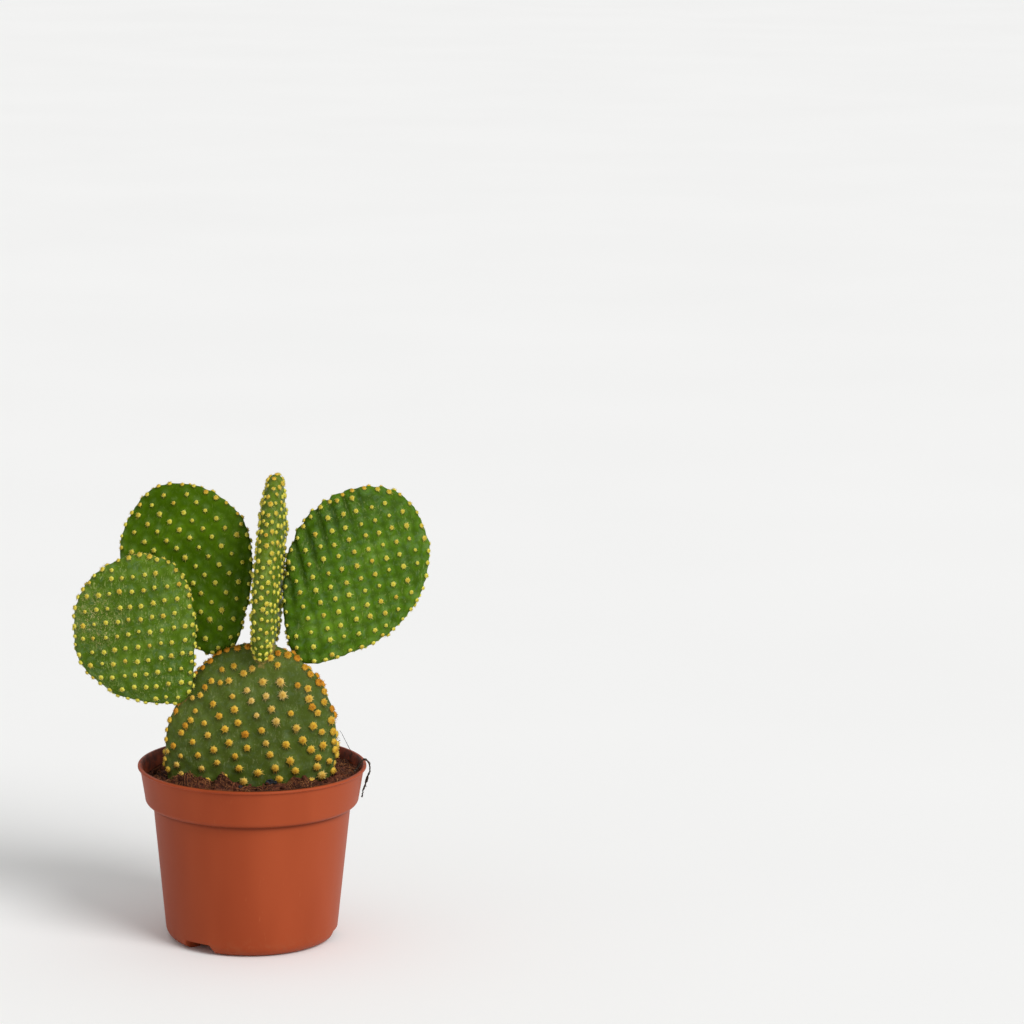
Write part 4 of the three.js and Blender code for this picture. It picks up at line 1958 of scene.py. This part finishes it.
# The back-left pad's skin is darker: partly its own deeper green, partly painted shade where the
# middle pad shades it.
SHADED_SKIN = WaxySkin(
    name="young_pad_skin_deep_green_and_shaded",
    deep="#3c5800",
    body="#446201",
    light="#52720a",
    valley_shade="#2f4901",
    haze="#4c6c30",
    fleck_strength=0.16,
    haze_strength=0.14,
    specular=0.04,
)
OLD_SKIN = WaxySkin(
    name="old_pad_skin_waxy",
    deep="#43521a",
    body="#495a18",
    light="#586822",
    valley_shade="#3f4c16",
    bloom="#7a8a66",
    fleck="#9aa070",
    haze="#5a6c50",
    roughness=0.58,
    fleck_strength=0.4,
    haze_strength=0.26,
)


def cactus_pads() -> list[CactusPad]:
    """Returns the five pads with their own rows, marks and colours."""
    old = CactusPad(
        form=OLD_PAD,
        rows=TuftRows(
            step=9.0,
            step_angle=35.8,
            row=7.2,
            row_angle=121,
            offset=(3.5, -1.5),
            rim_step=5.4,
            rim_rows=(-37, -12, 12, 37),
            face_share=0.9,
            jitter=0.45,
            closest=4.1,
            apart=5.4,
            radius=2.24,
            spread=0.16,
            hairs=26,
            growth=0.15,
        ),
        skin_finish=OLD_SKIN,
        skin_slot=Slot.OLD_SKIN,
        seed=100,
        bump=0.6,
        bump_width=2.9,
        neighbours=EARS,
        clearance=1.0,
        lowest=88.5,
        pale_low=0.5,
        pale_high=0.36,
        rim_gold=0.3,
        pale_spot=(2, 92, 20),
    )
    ears = [
        CactusPad(
            form=EAR_FRONT_LEFT,
            rows=TuftRows(7.8, 31, 6.1, 137.5, (1.4, 1.8), rim_step=5.2),
            skin_finish=YOUNG_SKIN,
            seed=200,
            neighbours=(OLD_PAD,),
            scar_spot=(-14, 63, 22),
        ),
        CactusPad(
            form=EAR_BACK_LEFT,
            rows=TuftRows(8.6, 13.6, 6.8, 115.7, (-4.4, -1.3)),
            skin_finish=SHADED_SKIN,
            seed=300,
            neighbours=(OLD_PAD,),
        ),
        CactusPad(
            form=EAR_MIDDLE,
            rows=TuftRows(
                8.0, 40, 6.8, 135, (0, 0), rim_step=5.3, rim_rows=(-52, -26, 0, 26, 52)
            ),
            skin_finish=EDGE_SKIN,
            seed=400,
            neighbours=(OLD_PAD,),
        ),
        CactusPad(
            form=EAR_RIGHT,
            rows=TuftRows(8.0, 48, 6.9, 139.7, (-2, -4.1)),
            skin_finish=RIDGED_SKIN,
            seed=500,
            neighbours=(OLD_PAD,),
            bump=0.75,
            groove_depth=1.0,
        ),
    ]
    return [old, *ears]


def main() -> None:
    """Builds the studio, the pot, the peat, the pads and the roots in order."""
    logging.basicConfig(level=logging.INFO, format="%(name)s: %(message)s")
    PhotoCamera().build()
    Studio().build()
    pot = GrowerPot()
    pieces = [pot.build()]
    peat = DryFibre("peat_crumbly_dark", "#1f110a", "#5c3020", "#945c38")
    straw = DryFibre("peat_fibre_tan", "#5a301a", "#96603a", "#c89a66", 0.8)
    slate = DryFibre("peat_chip_slate", "#1d1f22", "#34383e", "#5c6067", 1.2)
    bark = DryFibre("dead_root_bark_dry", "#1a120d", "#3a2c22", "#6f6054", 0.9)
    filling = PeatFilling(pot, OLD_PAD)
    peat_material = peat.build()
    pieces.append(filling.build_filling(peat_material))
    pieces.append(filling.build_crumbs(peat_material))
    pieces.append(filling.build_fibres(straw.build()))
    pieces.append(filling.build_chips(slate.build()))
    hair = BarbedHair().build()
    old_hair = BarbedHair(name="glochid_hair_old", faded=("#bc9238", "#ecca72", "#f9e6b2")).build()
    for pad in cactus_pads():
        templates = TuftTemplates(pad.rows.hairs)
        pieces += pad.build(old_hair if pad.form is OLD_PAD else hair, templates)
    pieces += DeadRoots().build(bark.build())
    for piece in pieces:
        triangles = sum(len(polygon.vertices) - 2 for polygon in piece.data.polygons)
        log.info("%s: %d triangles", piece.name, triangles)


if __name__ == "__main__":
    main()
